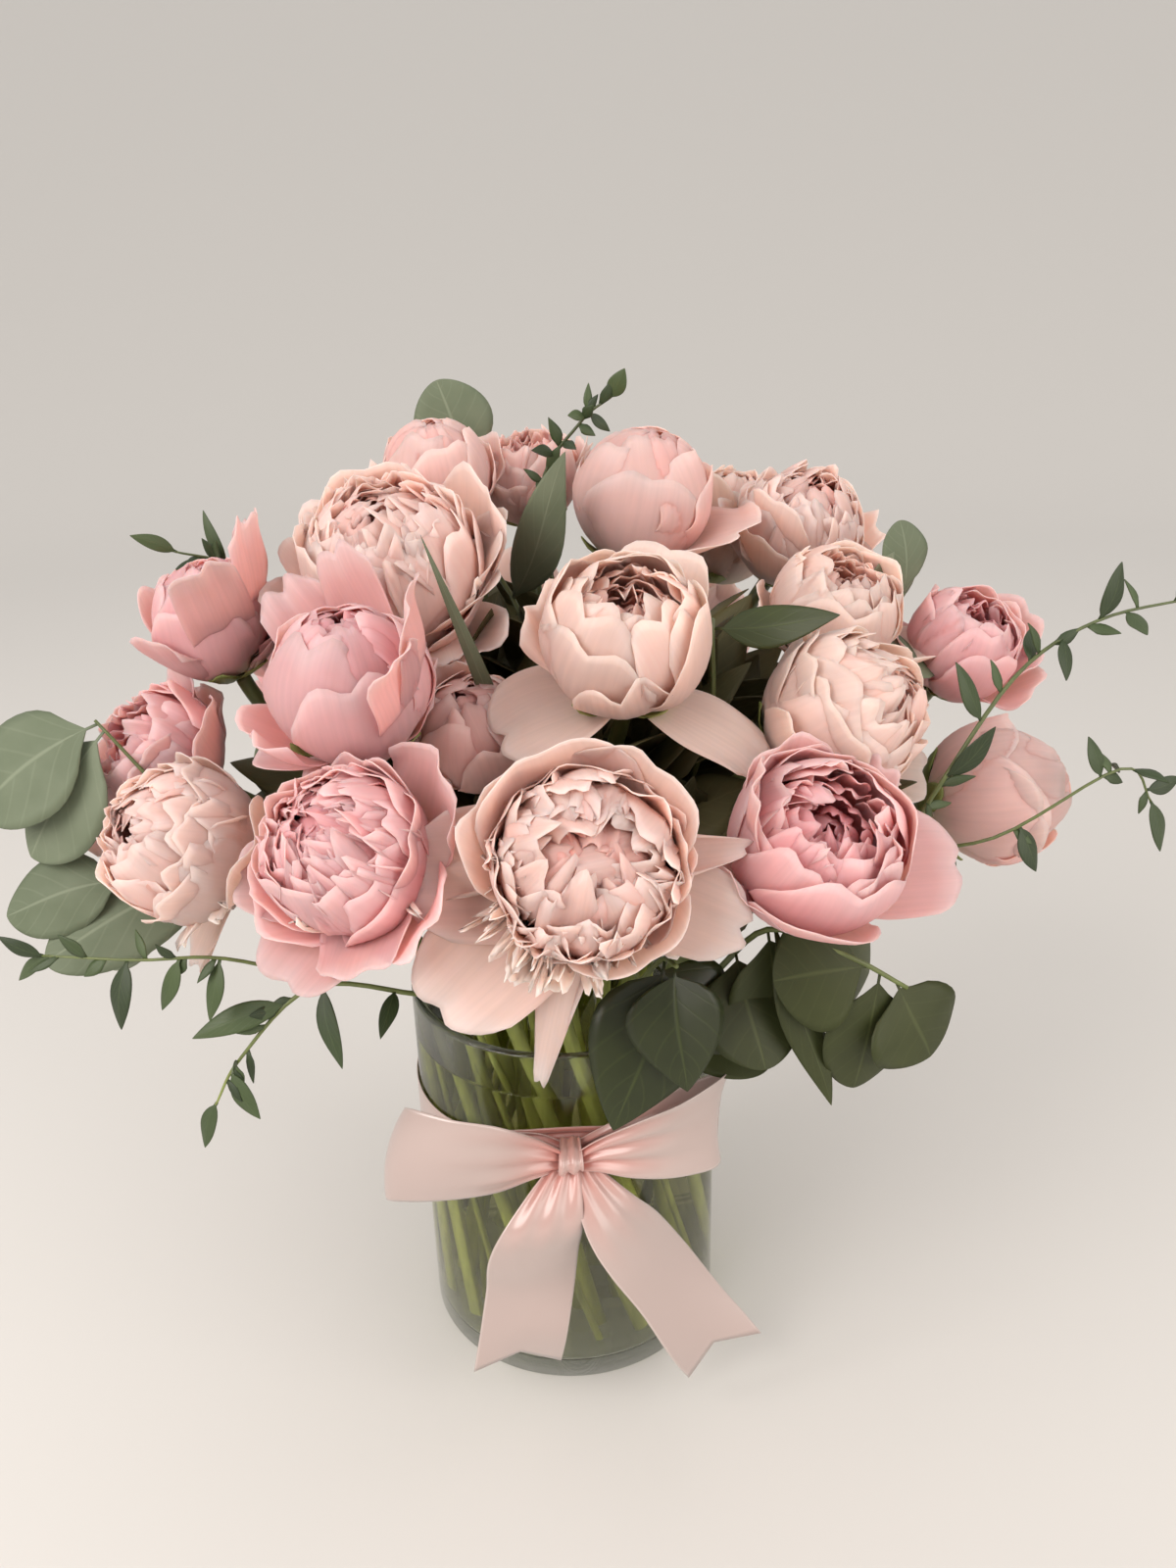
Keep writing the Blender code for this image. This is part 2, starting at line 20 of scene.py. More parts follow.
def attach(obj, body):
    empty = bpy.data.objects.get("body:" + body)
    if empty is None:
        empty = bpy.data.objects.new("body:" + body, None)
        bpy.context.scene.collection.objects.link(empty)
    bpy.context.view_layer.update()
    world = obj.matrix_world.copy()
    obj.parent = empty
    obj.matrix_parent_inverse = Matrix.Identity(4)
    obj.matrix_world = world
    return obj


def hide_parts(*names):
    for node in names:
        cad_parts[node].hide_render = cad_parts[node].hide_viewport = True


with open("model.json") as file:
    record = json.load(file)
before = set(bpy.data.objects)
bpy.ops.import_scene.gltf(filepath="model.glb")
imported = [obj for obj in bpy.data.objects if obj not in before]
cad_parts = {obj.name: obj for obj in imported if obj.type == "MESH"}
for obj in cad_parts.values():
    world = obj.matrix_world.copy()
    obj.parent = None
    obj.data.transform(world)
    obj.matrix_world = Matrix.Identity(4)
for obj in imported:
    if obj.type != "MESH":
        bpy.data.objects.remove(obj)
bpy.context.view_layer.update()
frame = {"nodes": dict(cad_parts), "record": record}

MM = 0.001
MERGE_WITHIN = 0.00002

# %% [markdown]
# ## Camera
# The view is from a little above, close to the bunch, as a person standing at a table sees
# it. The camera is made first, so that everything after it can be looked at.

# %% Camera
CAMERA_PLACE = (0, -0.4725, 0.4628)
# In degrees: how far the camera looks down, how far it turns, and how far it leans.
CAMERA_DOWN, CAMERA_TURN, CAMERA_LEAN = 22.28, -1.64, -1.52

camera_data = bpy.data.cameras.new("camera")
camera_data.lens = 27.05
camera_data.sensor_width = 36
camera = bpy.data.objects.new("camera", camera_data)
bpy.context.scene.collection.objects.link(camera)
tilt = Matrix.Rotation(math.radians(90 - CAMERA_DOWN), 4, "X")
swing = Matrix.Rotation(math.radians(CAMERA_TURN), 4, "Z")
roll = Matrix.Rotation(math.radians(CAMERA_LEAN), 4, "Z")
camera.matrix_world = Matrix.Translation(CAMERA_PLACE) @ swing @ tilt @ roll
bpy.context.scene.camera = camera
print("camera at", tuple(round(v, 3) for v in camera.location))

# %% [markdown]
# ## Small helpers
# Colours are written as the hex values that a paint program shows, and Blender wants linear
# light, so one function turns them. A second sets a node's inputs, and a third adds a node.


# %% Colours and nodes
def linear(hex_colour):
    """A linear colour from an sRGB hex value."""
    srgb = [int(hex_colour[i:i + 2], 16) / 255 for i in (0, 2, 4)]
    return (*[c / 12.92 if c <= 0.04045 else ((c + 0.055) / 1.055) ** 2.4 for c in srgb], 1)


def set_inputs(tree, node, values):
    """Sets each of these inputs of a node to a value, or links it to a socket. A node given as
    a value stands for its first output."""
    for key, value in dict(values).items():
        if isinstance(value, bpy.types.Node):
            value = value.outputs[0]
        if isinstance(value, bpy.types.NodeSocket):
            tree.links.new(value, node.inputs[key])
        else:
            node.inputs[key].default_value = value


def add_node(tree, kind, values=(), stops=(), **settings):
    """A shader node of this kind with its settings and inputs. A colour ramp also takes its
    (place, hex colour) stops."""
    node = tree.nodes.new("ShaderNode" + kind)
    for key, setting in settings.items():
        setattr(node, key, setting)
    set_inputs(tree, node, values)
    if stops:
        points = node.color_ramp.elements
        while len(points) < len(stops):
            points.new(0.5)
        for point, (place, colour) in zip(points, stops):
            point.position = place
            point.color = linear(colour)
    return node


def new_material(name):
    """(material, its node tree, its Principled shader, its output)."""
    material = bpy.data.materials.new(name)
    material.use_nodes = True
    tree = material.node_tree
    return material, tree, tree.nodes["Principled BSDF"], tree.nodes["Material Output"]


print("colour and node helpers ready")

# %% [markdown]
# Petals, leaves and ribbon are all thin sheets, so one class gathers grids of points, joins
# them as one mesh and gives them their thickness. Other small functions link an object to the
# scene, apply a modifier, and say what a finished piece is.


# %% Meshes
def add_object(name, data):
    """A new object of this data, linked to the scene."""
    obj = bpy.data.objects.new(name, data)
    bpy.context.scene.collection.objects.link(obj)
    return obj


def deselect_all():
    bpy.ops.object.select_all(action="DESELECT")


def make_active(obj):
    deselect_all()
    obj.select_set(True)
    bpy.context.view_layer.objects.active = obj


def apply_modifier(obj, kind, **settings):
    """Adds a modifier to the object and applies it."""
    make_active(obj)
    modifier = obj.modifiers.new(kind.lower(), kind)
    for key, value in settings.items():
        setattr(modifier, key, value)
    bpy.ops.object.modifier_apply(modifier=modifier.name)


class Sheets:
    """Gathers thin grids, such as petals or leaves, to make one mesh of them."""

    def __init__(self):
        self.points, self.faces, self.uv, self.shade, self.deep = [], [], [], [], []
        self.count = 0

    def add(self, grid, shade=0.5, deep=0.0):
        """Adds a grid of points shaped (rows, columns, 3)."""
        rows, cols, _ = grid.shape
        index = np.arange(rows * cols).reshape(rows, cols) + self.count
        quads = np.stack([index[:-1, :-1], index[:-1, 1:], index[1:, 1:], index[1:, :-1]], -1)
        across, along = np.meshgrid(np.linspace(0, 1, cols), np.linspace(0, 1, rows))
        self.points.append(grid.reshape(-1, 3))
        self.faces.append(quads.reshape(-1, 4))
        self.uv.append(np.stack([across, along], -1).reshape(-1, 2))
        self.shade.append(np.full(rows * cols, shade))
        self.deep.append(np.full(rows * cols, deep))
        self.count += rows * cols

    def make(self, name, material, thickness):
        """One object of all the grids, each closed to this thickness."""
        mesh = bpy.data.meshes.new(name)
        points = np.concatenate(self.points)
        mesh.from_pydata(points.tolist(), [], np.concatenate(self.faces).tolist())
        uv = np.concatenate(self.uv)
        corners = np.empty(len(mesh.loops), np.int32)
        mesh.loops.foreach_get("vertex_index", corners)
        layer = mesh.uv_layers.new(name="sheet")
        layer.uv.foreach_set("vector", uv[corners].ravel())
        for key, parts in (("shade", self.shade), ("deep", self.deep)):
            attribute = mesh.attributes.new(key, "FLOAT", "POINT")
            attribute.data.foreach_set("value", np.concatenate(parts).astype(np.float32))
        obj = add_object(name, mesh)
        mesh.materials.append(material)
        apply_modifier(obj, "WELD", merge_threshold=MERGE_WITHIN)
        apply_modifier(obj, "SOLIDIFY", thickness=thickness, offset=0.0, use_even_offset=False)
        obj.data.shade_smooth()
        return obj


def place_piece(obj, slot, *nodes):
    """Says what a finished piece rides on and which solids it stands for. The slot is not used."""
    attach(obj, "root")
    if nodes:
        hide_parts(*nodes)


def node_points(name):
    """The points of a solid of the frame, as an array."""
    mesh = frame["nodes"][name].data
    points = np.empty(len(mesh.vertices) * 3)
    mesh.vertices.foreach_get("co", points)
    return points.reshape(-1, 3)


print("helpers ready")

# %% [markdown]
# ## Petal finish
# A peony petal is a thin, moist sheet of cells. Light goes into it and comes out again
# softly, so it has subsurface scattering and lets some light through from behind. It is
# deepest in colour at its claw and in the heart of the flower, and palest at its edge, with
# fine veins that run from the claw to the edge. The deeper pink towards the heart is partly
# the flower's own colour and partly painted shade, with the pink light that bounces between
# the petals painted in. The sheet's own map says how far along the petal a point is, so the
# colours and the veins follow each petal.


# %% Petal materials
def petal_finish(name, claw, blade, edge, heart):
    """A petal finish from the colours of its claw, its blade, its edge and the heart."""
    material, tree, shader, output = new_material(name)
    sheet_map = add_node(tree, "UVMap", uv_map="sheet")
    parts = add_node(tree, "SeparateXYZ", {"Vector": sheet_map.outputs["UV"]})
    along = parts.outputs["Y"]
    deep = add_node(tree, "Attribute", attribute_name="deep").outputs["Fac"]
    shade = add_node(tree, "Attribute", attribute_name="shade").outputs["Fac"]
    body = add_node(tree, "ValToRGB", {"Fac": along},
                    stops=((0.0, claw), (0.35, blade), (0.82, blade), (1.0, edge)))
    # Painted shade in part: the deeper in the flower a petal lies, the more its colour goes to the
    # heart's deeper pink.
    heart_tint_and_shade = add_node(tree, "Mix", {"Factor": deep, "A": body.outputs["Color"], "B": linear(heart)},
                    data_type="RGBA")
    # Veins: noise drawn out along the petal, 26 to its width. A broad petal is 20 to 60 mm
    # wide, so they are 0.8 to 2.3 mm apart there, and finer on a small one.
    drawn = add_node(tree, "Mapping", {"Vector": sheet_map.outputs["UV"], "Scale": (26, 1.6, 1)})
    per_petal = add_node(tree, "Math", {0: shade, 1: 37.0}, operation="MULTIPLY")
    veins = add_node(tree, "TexNoise", {"Vector": drawn.outputs["Vector"], "W": per_petal,
                                        "Scale": 1.0, "Detail": 3.0}, noise_dimensions="4D")
    # Mottling: 60 to the metre, so about 17 mm across.
    here = add_node(tree, "TexCoord")
    spots = add_node(tree, "TexNoise",
                     {"Vector": here.outputs["Object"], "Scale": 60.0, "Detail": 2.0})
    spread = add_node(tree, "MapRange", {"Value": veins.outputs["Fac"], "From Min": 0.3,
                                         "From Max": 0.7, "To Min": 0.96, "To Max": 1.04})
    cloud = add_node(tree, "MapRange", {"Value": spots.outputs["Fac"], "From Min": 0.3,
                                        "From Max": 0.7, "To Min": 0.985, "To Max": 1.015})
    # Each petal is made lighter or darker by its shade value: at random for most petals, and
    # painted shade for the guard petals, which are given low values.
    lift = add_node(tree, "MapRange", {"Value": shade, "To Min": 0.84, "To Max": 1.08})
    first = add_node(tree, "Math", {0: spread, 1: cloud},
                     operation="MULTIPLY")
    second = add_node(tree, "Math", {0: first, 1: lift},
                      operation="MULTIPLY")
    colour = add_node(tree, "VectorMath",
                      {0: heart_tint_and_shade.outputs["Result"], "Scale": second}, operation="SCALE")
    bump = add_node(tree, "Bump",
                    {"Height": veins.outputs["Fac"], "Strength": 0.14, "Distance": 0.3 * MM})
    set_inputs(tree, shader, {
        "Base Color": colour, "Normal": bump, "Roughness": 0.5,
        "Specular IOR Level": 0.35, "Subsurface Weight": 0.4,
        "Subsurface Radius": (0.006, 0.003, 0.002), "Subsurface Scale": 1.0, "Sheen Weight": 0.15})
    through = add_node(tree, "BsdfTranslucent", {"Color": colour})
    mix = add_node(tree, "MixShader", {0: 0.4, 1: shader, 2: through})
    set_inputs(tree, output, {"Surface": mix})
    return material


PETALS = {
    "pink": petal_finish("pink peony petal", "F3E6C0", "F8C2C1", "FBD9D7", "F3A4A9"),
    "blush": petal_finish("blush peony petal", "F4E9C6", "F9D0C6", "FCE2DA", "F4B3AA"),
    "cream": petal_finish("cream peony petal", "F5EBCE", "FADBCD", "FDE9DE", "F5C0B2"),
    "pale": petal_finish("pale peony petal", "FAEEDC", "FBDACE", "FDE9E1", "F6BBAE"),
    "fringe": petal_finish("pale peony fringe", "FAE9D6", "FDE9DE", "FEF2EA", "FBE0D4"),
}
print("petal finishes:", ", ".join(PETALS))

# %% [markdown]
# ## One petal
# A petal is drawn as a line that leaves the base of the bloom and turns from lying flat
# towards standing up, as a finger curls. The sheet is then laid across that line and cupped
# round the bloom's axis. Its edge is ruffled, and its tip may be notched, frilled or pointed.
# No primitive gives that shape, so the points are worked out and made into a mesh.


# %% Petal shape
def waves(rng, values, count, low, high):
    """A smooth wandering curve over values, from -1 to 1."""
    total = np.zeros_like(values)
    for _ in range(count):
        turns = values * rng.uniform(low, high) * math.tau
        total = total + np.sin(turns + rng.uniform(0, math.tau))
    return total / count


def petal(frame_of, clock, length, width, opening, rng, cup=1.0, curl=0.0, ruffle=0.0, crimp=0.0,
          frill=0.0, notch=0.0, point=0.0, claw=0.2, lap=0.0, start=(2, 2), rows=14, cols=11):
    """A grid of a petal's points. frame_of is (base, right, up, axis), lengths are in mm, and
    opening is the angle from the axis at the claw and at the tip."""
    base, right, up, axis = frame_of
    turn = math.radians(clock)
    outward = right * math.cos(turn) + up * math.sin(turn)
    across = np.cross(axis, outward)
    steps = np.linspace(0, 1, 41)
    tip = np.clip((steps - 0.7) / 0.3, 0, 1)
    swing = opening[0] + (opening[1] - opening[0]) * steps + curl * tip ** 1.5
    theta = np.radians(swing)
    run = outward * np.sin(theta)[:, None] + axis * np.cos(theta)[:, None]
    moves = (run[1:] + run[:-1]) / 2 * length * MM / 40
    origin = base + outward * start[0] * MM + axis * start[1] * MM
    line = origin + np.vstack([np.zeros(3), np.cumsum(moves, axis=0)])
    away = (line - base) @ outward
    u = np.linspace(-1, 1, cols)
    edge = np.abs(u)
    drop = min(0.22, 0.34 * width / length) + point
    reach = 1 - drop * edge ** (3.0 - 1.6 * min(point, 0.8)) - notch * np.exp(-(u / 0.2) ** 2)
    finest = (cols - 1) / 9
    reach = reach + frill * waves(rng, u, 3, 0.4, finest)
    shares = np.linspace(0, 1, rows) ** 0.9
    t = np.clip(shares[:, None] * reach[None, :], 0, 1.12)
    centre = np.stack([np.interp(t, steps, line[:, k]) for k in range(3)], -1)
    beyond = np.clip(t - 1, 0, None)[..., None] * length * MM * run[-1]
    angle = np.interp(t, steps, theta)
    inner = axis * np.sin(angle)[..., None] - outward * np.cos(angle)[..., None]
    rise = np.clip(shares / 0.66, 0, 1)
    spread = claw + (1 - claw) * rise * (2 - rise)
    spread = spread * (1 - (0.08 + 0.6 * point) * np.clip((shares - 0.66) / 0.34, 0, 1) ** 1.8)
    half = (width * MM / 2 * spread)[:, None] * u[None, :]
    bend = cup / np.maximum(np.interp(t, steps, away), 0.3 * width * MM)
    bend = np.where(np.abs(bend) < 1, 1.0, bend)
    sweep = np.clip(half * bend, -1.9, 1.9)
    sideways, inwards = np.sin(sweep) / bend, (1 - np.cos(sweep)) / bend
    down, over = shares[:, None], u[None, :]
    shake = edge[None, :] ** 2 * down * waves(rng, down + over * 0.3, 2, 0.8, 1.9)
    shake = shake + down ** 3 * waves(rng, over + down * 0.2, 2, 0.5, 1.3) * 0.8
    fine = down ** 4 * waves(rng, over + down * 0.1, 2, 0.7, finest)
    grid = centre + beyond + across * sideways[..., None] + inner * inwards[..., None]
    moved = (ruffle * shake + crimp * fine + lap * over * rise[:, None]) * MM
    return grid + inner * moved[..., None]


def facing(faces):
    """(right, up, axis) of something that faces these degrees round from the front and up."""
    turn, rise = math.radians(faces[0]), math.radians(faces[1])
    axis = np.array((math.sin(turn) * math.cos(rise), -math.cos(turn) * math.cos(rise),
                     math.sin(rise)))
    right = np.array((math.cos(turn), math.sin(turn), 0.0))
    return right, np.cross(axis, right), axis


def stem_end(name, axis):
    """The middle of the end of a bloom's stem, in the frame."""
    stem = node_points("stem_" + name)
    along = stem @ axis
    return stem[along > along.max() - 0.2 * MM].mean(axis=0)


print("petal shape ready")

# %% [markdown]
# ## How a peony is built
# A peony has broad guard petals outside, then whorls of cupped petals that hug a globe, and
# a heart of smaller, ruffled ones. How far up the globe each whorl ends gives the flower its
# look. In a bud every whorl closes over the top. In a bowl the outer petals end in a rim
# above a sunken heart. In a blown bloom the outer whorls end low and each inner one rises
# past them, so their frilled tips overlap like shingles. Each whorl is a row of numbers, and
# neighbours lap over each other by having one side further in than the other.


# %% Whorls of petals
# Each whorl: petals, share of the globe's radius, degrees up the globe at which it ends,
# width as a share of the radius, depth of colour towards the heart's pink (partly painted
# shade), ruffle and crimp in mm, frill, tip's curl.
WHORLS = {
    "bud": (
        (3, 1.01, 126, 2.0, 0.0, 2.0, 0.3, 0.03, 12),
        (3, 0.98, 148, 1.95, 0.0, 2.0, 0.4, 0.04, 4),
        (4, 0.93, 164, 1.6, 0.05, 1.6, 0.5, 0.05, 0), (5, 0.86, 170, 1.3, 0.3, 1.4, 0.6, 0.05, 0),
        (5, 0.7, 172, 1.2, 0.6, 1.4, 0.6, 0.05, 0), (4, 0.5, 178, 1.5, 0.7, 1.0, 0.4, 0.05, 0)),
    "bowl": (
        (3, 1.01, 128, 2.0, 0.0, 2.0, 0.3, 0.03, 14), (4, 0.98, 140, 1.8, 0.0, 2.0, 0.4, 0.04, 8),
        (5, 0.93, 145, 1.45, 0.05, 1.8, 0.6, 0.05, 8),
        (6, 0.86, 146, 1.2, 0.15, 2.2, 0.9, 0.06, 10),
        (7, 0.77, 144, 1.05, 0.3, 2.4, 1.1, 0.08, 12),
        (8, 0.66, 148, 0.95, 0.45, 2.4, 1.2, 0.09, 8),
        (7, 0.52, 154, 0.95, 0.65, 2.0, 1.0, 0.1, 0), (5, 0.38, 164, 1.2, 0.8, 1.4, 0.6, 0.08, 0),
        (4, 0.25, 174, 1.4, 0.8, 0.8, 0.4, 0.06, 0)),
    "ruffled": (
        (3, 1.02, 118, 2.0, 0.0, 2.4, 0.3, 0.04, 18),
        (4, 0.99, 130, 1.8, 0.0, 2.6, 0.6, 0.06, 14),
        (5, 0.96, 136, 1.4, 0.0, 3.0, 1.0, 0.08, 20),
        (7, 0.93, 143, 1.1, 0.0, 3.0, 1.2, 0.11, 20),
        (10, 0.88, 148, 0.85, 0.1, 2.4, 1.3, 0.13, 18),
        (10, 0.83, 155, 0.8, 0.2, 2.4, 1.3, 0.14, 16),
        (9, 0.76, 160, 0.75, 0.3, 2.2, 1.2, 0.14, 12),
        (8, 0.66, 164, 0.75, 0.45, 1.8, 1.0, 0.13, 8),
        (6, 0.54, 168, 0.8, 0.65, 1.4, 0.8, 0.12, 0), (4, 0.4, 172, 0.9, 0.8, 1.0, 0.6, 0.1, 0)),
    "blown": (
        (5, 1.00, 100, 1.6, 0.0, 2.0, 0.6, 0.07, 10),
        (6, 0.99, 112, 1.35, 0.0, 2.6, 1.0, 0.09, 14),
        (7, 0.97, 122, 1.2, 0.0, 2.8, 1.2, 0.11, 18),
        (8, 0.94, 131, 1.05, 0.0, 2.8, 1.2, 0.12, 18),
        (8, 0.9, 140, 1.0, 0.0, 2.6, 1.2, 0.13, 18),
        (8, 0.85, 149, 0.95, 0.1, 2.4, 1.2, 0.13, 16),
        (7, 0.77, 157, 0.9, 0.25, 2.2, 1.1, 0.12, 12),
        (6, 0.66, 164, 0.9, 0.45, 1.8, 0.9, 0.11, 6), (5, 0.52, 170, 0.95, 0.7, 1.4, 0.7, 0.1, 0),
        (4, 0.36, 176, 1.1, 0.9, 1.0, 0.5, 0.1, 0)),
    "full": (
        (3, 1.02, 120, 2.0, 0.0, 2.2, 0.3, 0.04, 14), (4, 1.0, 132, 1.9, 0.0, 2.4, 0.4, 0.05, 12),
        (5, 0.97, 139, 1.6, 0.0, 2.6, 0.6, 0.06, 14),
        (6, 0.93, 146, 1.3, 0.05, 2.6, 0.9, 0.08, 14),
        (7, 0.88, 152, 1.15, 0.1, 2.6, 1.1, 0.1, 14),
        (7, 0.81, 158, 1.05, 0.2, 2.4, 1.1, 0.11, 12),
        (6, 0.71, 164, 1.0, 0.4, 2.0, 1.0, 0.11, 8), (5, 0.58, 169, 1.0, 0.6, 1.6, 0.8, 0.1, 0),
        (4, 0.42, 174, 1.05, 0.85, 1.0, 0.5, 0.1, 0)),
}
# For each kind: how many torn petals its heart has, how many degrees its petals tilt by
# chance, how far its heart is sunk, and how many petals stand loose outside the whorls.
FRILLS = {"bud": 0, "bowl": 8, "full": 16, "ruffled": 36, "blown": 34}
TILT = {"bud": 6, "bowl": 8, "full": 10, "ruffled": 14, "blown": 13}
SUNK = {"bud": 0.06, "bowl": 0.42, "full": 0.12, "ruffled": 0.16, "blown": 0.08}
LOOSE_PETALS = {"bud": 2, "bowl": 3, "full": 4, "ruffled": 5, "blown": 0}


def tilted(place, radius, degrees, rng):
    """The frame of a petal whose globe is turned a little about its middle, by chance."""
    base, right, up, axis = place
    middle = base + axis * radius * MM
    reach = math.tan(math.radians(degrees))
    turned = axis + right * rng.gauss(0, 0.6) * reach + up * rng.gauss(0, 0.6) * reach
    turned = turned / np.linalg.norm(turned)
    side = right - turned * (right @ turned)
    side = side / np.linalg.norm(side)
    return middle - turned * radius * MM, side, np.cross(turned, side), turned


def whorls(sheets, rng, kind, place, radius, loose):
    """All the whorls of a bloom. loose, from 0 to 1, lets its petals stand off the globe."""
    tight_bud = kind == "bud" and loose == 0
    for i in range(0 if tight_bud else LOOSE_PETALS[kind]):
        grid = petal(tilted(place, radius, 10, rng),
                     360 * i / LOOSE_PETALS[kind] + rng.uniform(0, 90),
                     radius * rng.uniform(1.6, 2.15), radius * rng.uniform(1.2, 1.8),
                     (76, rng.uniform(-8, 40)), rng, cup=0.85, ruffle=3.2, crimp=0.5, frill=0.05,
                     notch=rng.uniform(0, 0.12), lap=0.8, curl=rng.uniform(0, 40),
                     start=(2, 0.8), rows=16, cols=13)
        sheets.add(grid, rng.random(), 0.0)
    for count, share, ends, width, deep, ruffle, crimp, frill, curl in WHORLS[kind]:
        phase = rng.uniform(0, 360)
        for i in range(count):
            uneven = 1 if kind == "bud" else rng.uniform(0.98, 1.03)
            globe = radius * share * (1 - 0.012 * i) * uneven
            up_to = ends + rng.uniform(-11, 9) - 10 * loose
            wide = globe * width * rng.uniform(0.88, 1.12)
            sunk = 2 * (radius - globe) * (1 - SUNK[kind])
            grid = petal(tilted(place, radius, TILT[kind], rng),
                         phase + 360 * (i + rng.uniform(-0.2, 0.2)) / count,
                         globe * math.radians(up_to), wide,
                         (86, 90 - up_to + 14 * loose * share), rng, cup=1.0 - 0.15 * loose,
                         ruffle=ruffle * rng.uniform(0.6, 1.3), crimp=crimp, frill=frill,
                         notch=rng.uniform(0, 0.09), lap=1.5 * share,
                         curl=curl * rng.uniform(-0.3, 2.0), start=(1.5, 1.5 + sunk),
                         rows=15 if width > 1 else 12, cols=15 if width > 1 else 11)
            sheets.add(grid, rng.uniform(0.3, 1), min(max(deep + rng.uniform(-0.12, 0.12), 0), 1))


def frills(sheets, rng, place, radius, count):
    """Narrow, torn petals that come up between the others all over the heart."""
    for _ in range(count):
        share = rng.uniform(0.5, 0.97)
        globe = radius * share
        up_to = rng.uniform(118, 150) + 26 * (1 - share)
        grid = petal(tilted(place, radius, 16, rng), rng.uniform(0, 360),
                     globe * math.radians(up_to), radius * rng.uniform(0.3, 0.5),
                     (86, 90 - up_to), rng, cup=0.6, ruffle=2.4, crimp=1.1, frill=0.09,
                     point=rng.uniform(0, 0.12), curl=rng.uniform(-10, 40),
                     lap=rng.uniform(-0.8, 0.8), start=(1.5, 1.5 + radius - globe),
                     rows=11, cols=9)
        sheets.add(grid, rng.uniform(0.6, 1), max(0.5 - share * 0.5, 0))


def threads(sheets, rng, place, radius, low, high, count):
    """Thread-like and feathery petals that stand out from under the heart between two clock
    angles, most of them in the middle between the two."""
    for _ in range(count):
        clock = rng.gauss((low + high) / 2, (high - low) / 4)
        grid = petal(tilted(place, radius, 8, rng), clock, radius * rng.uniform(1.1, 1.5),
                     rng.choice((1.6, 2.2, 3.5, 6.0, 9.0)),
                     (rng.uniform(56, 84), rng.uniform(-25, 55)), rng, cup=0.3, ruffle=2.6,
                     crimp=1.0, frill=0.1, point=rng.uniform(0.0, 0.3), claw=0.6,
                     curl=rng.uniform(-50, 50), lap=rng.uniform(-1, 1),
                     start=(rng.uniform(3, 8), rng.uniform(4, 12)), rows=11, cols=6)
        sheets.add(grid, 1.0, 0.0)


# %% [markdown]
# Each bloom: its globe's diameter in mm; the way its stem's end faces, in degrees round from
# the front and above level; the way its heart faces; its kind and how loose it is; its tint;
# and its guard petals. A guard petal is given by its clock angle seen from in front (0 right,
# 90 up), its angles from the axis at its claw and its tip, its length and width, the curl of
# its tip, and how far it cups.

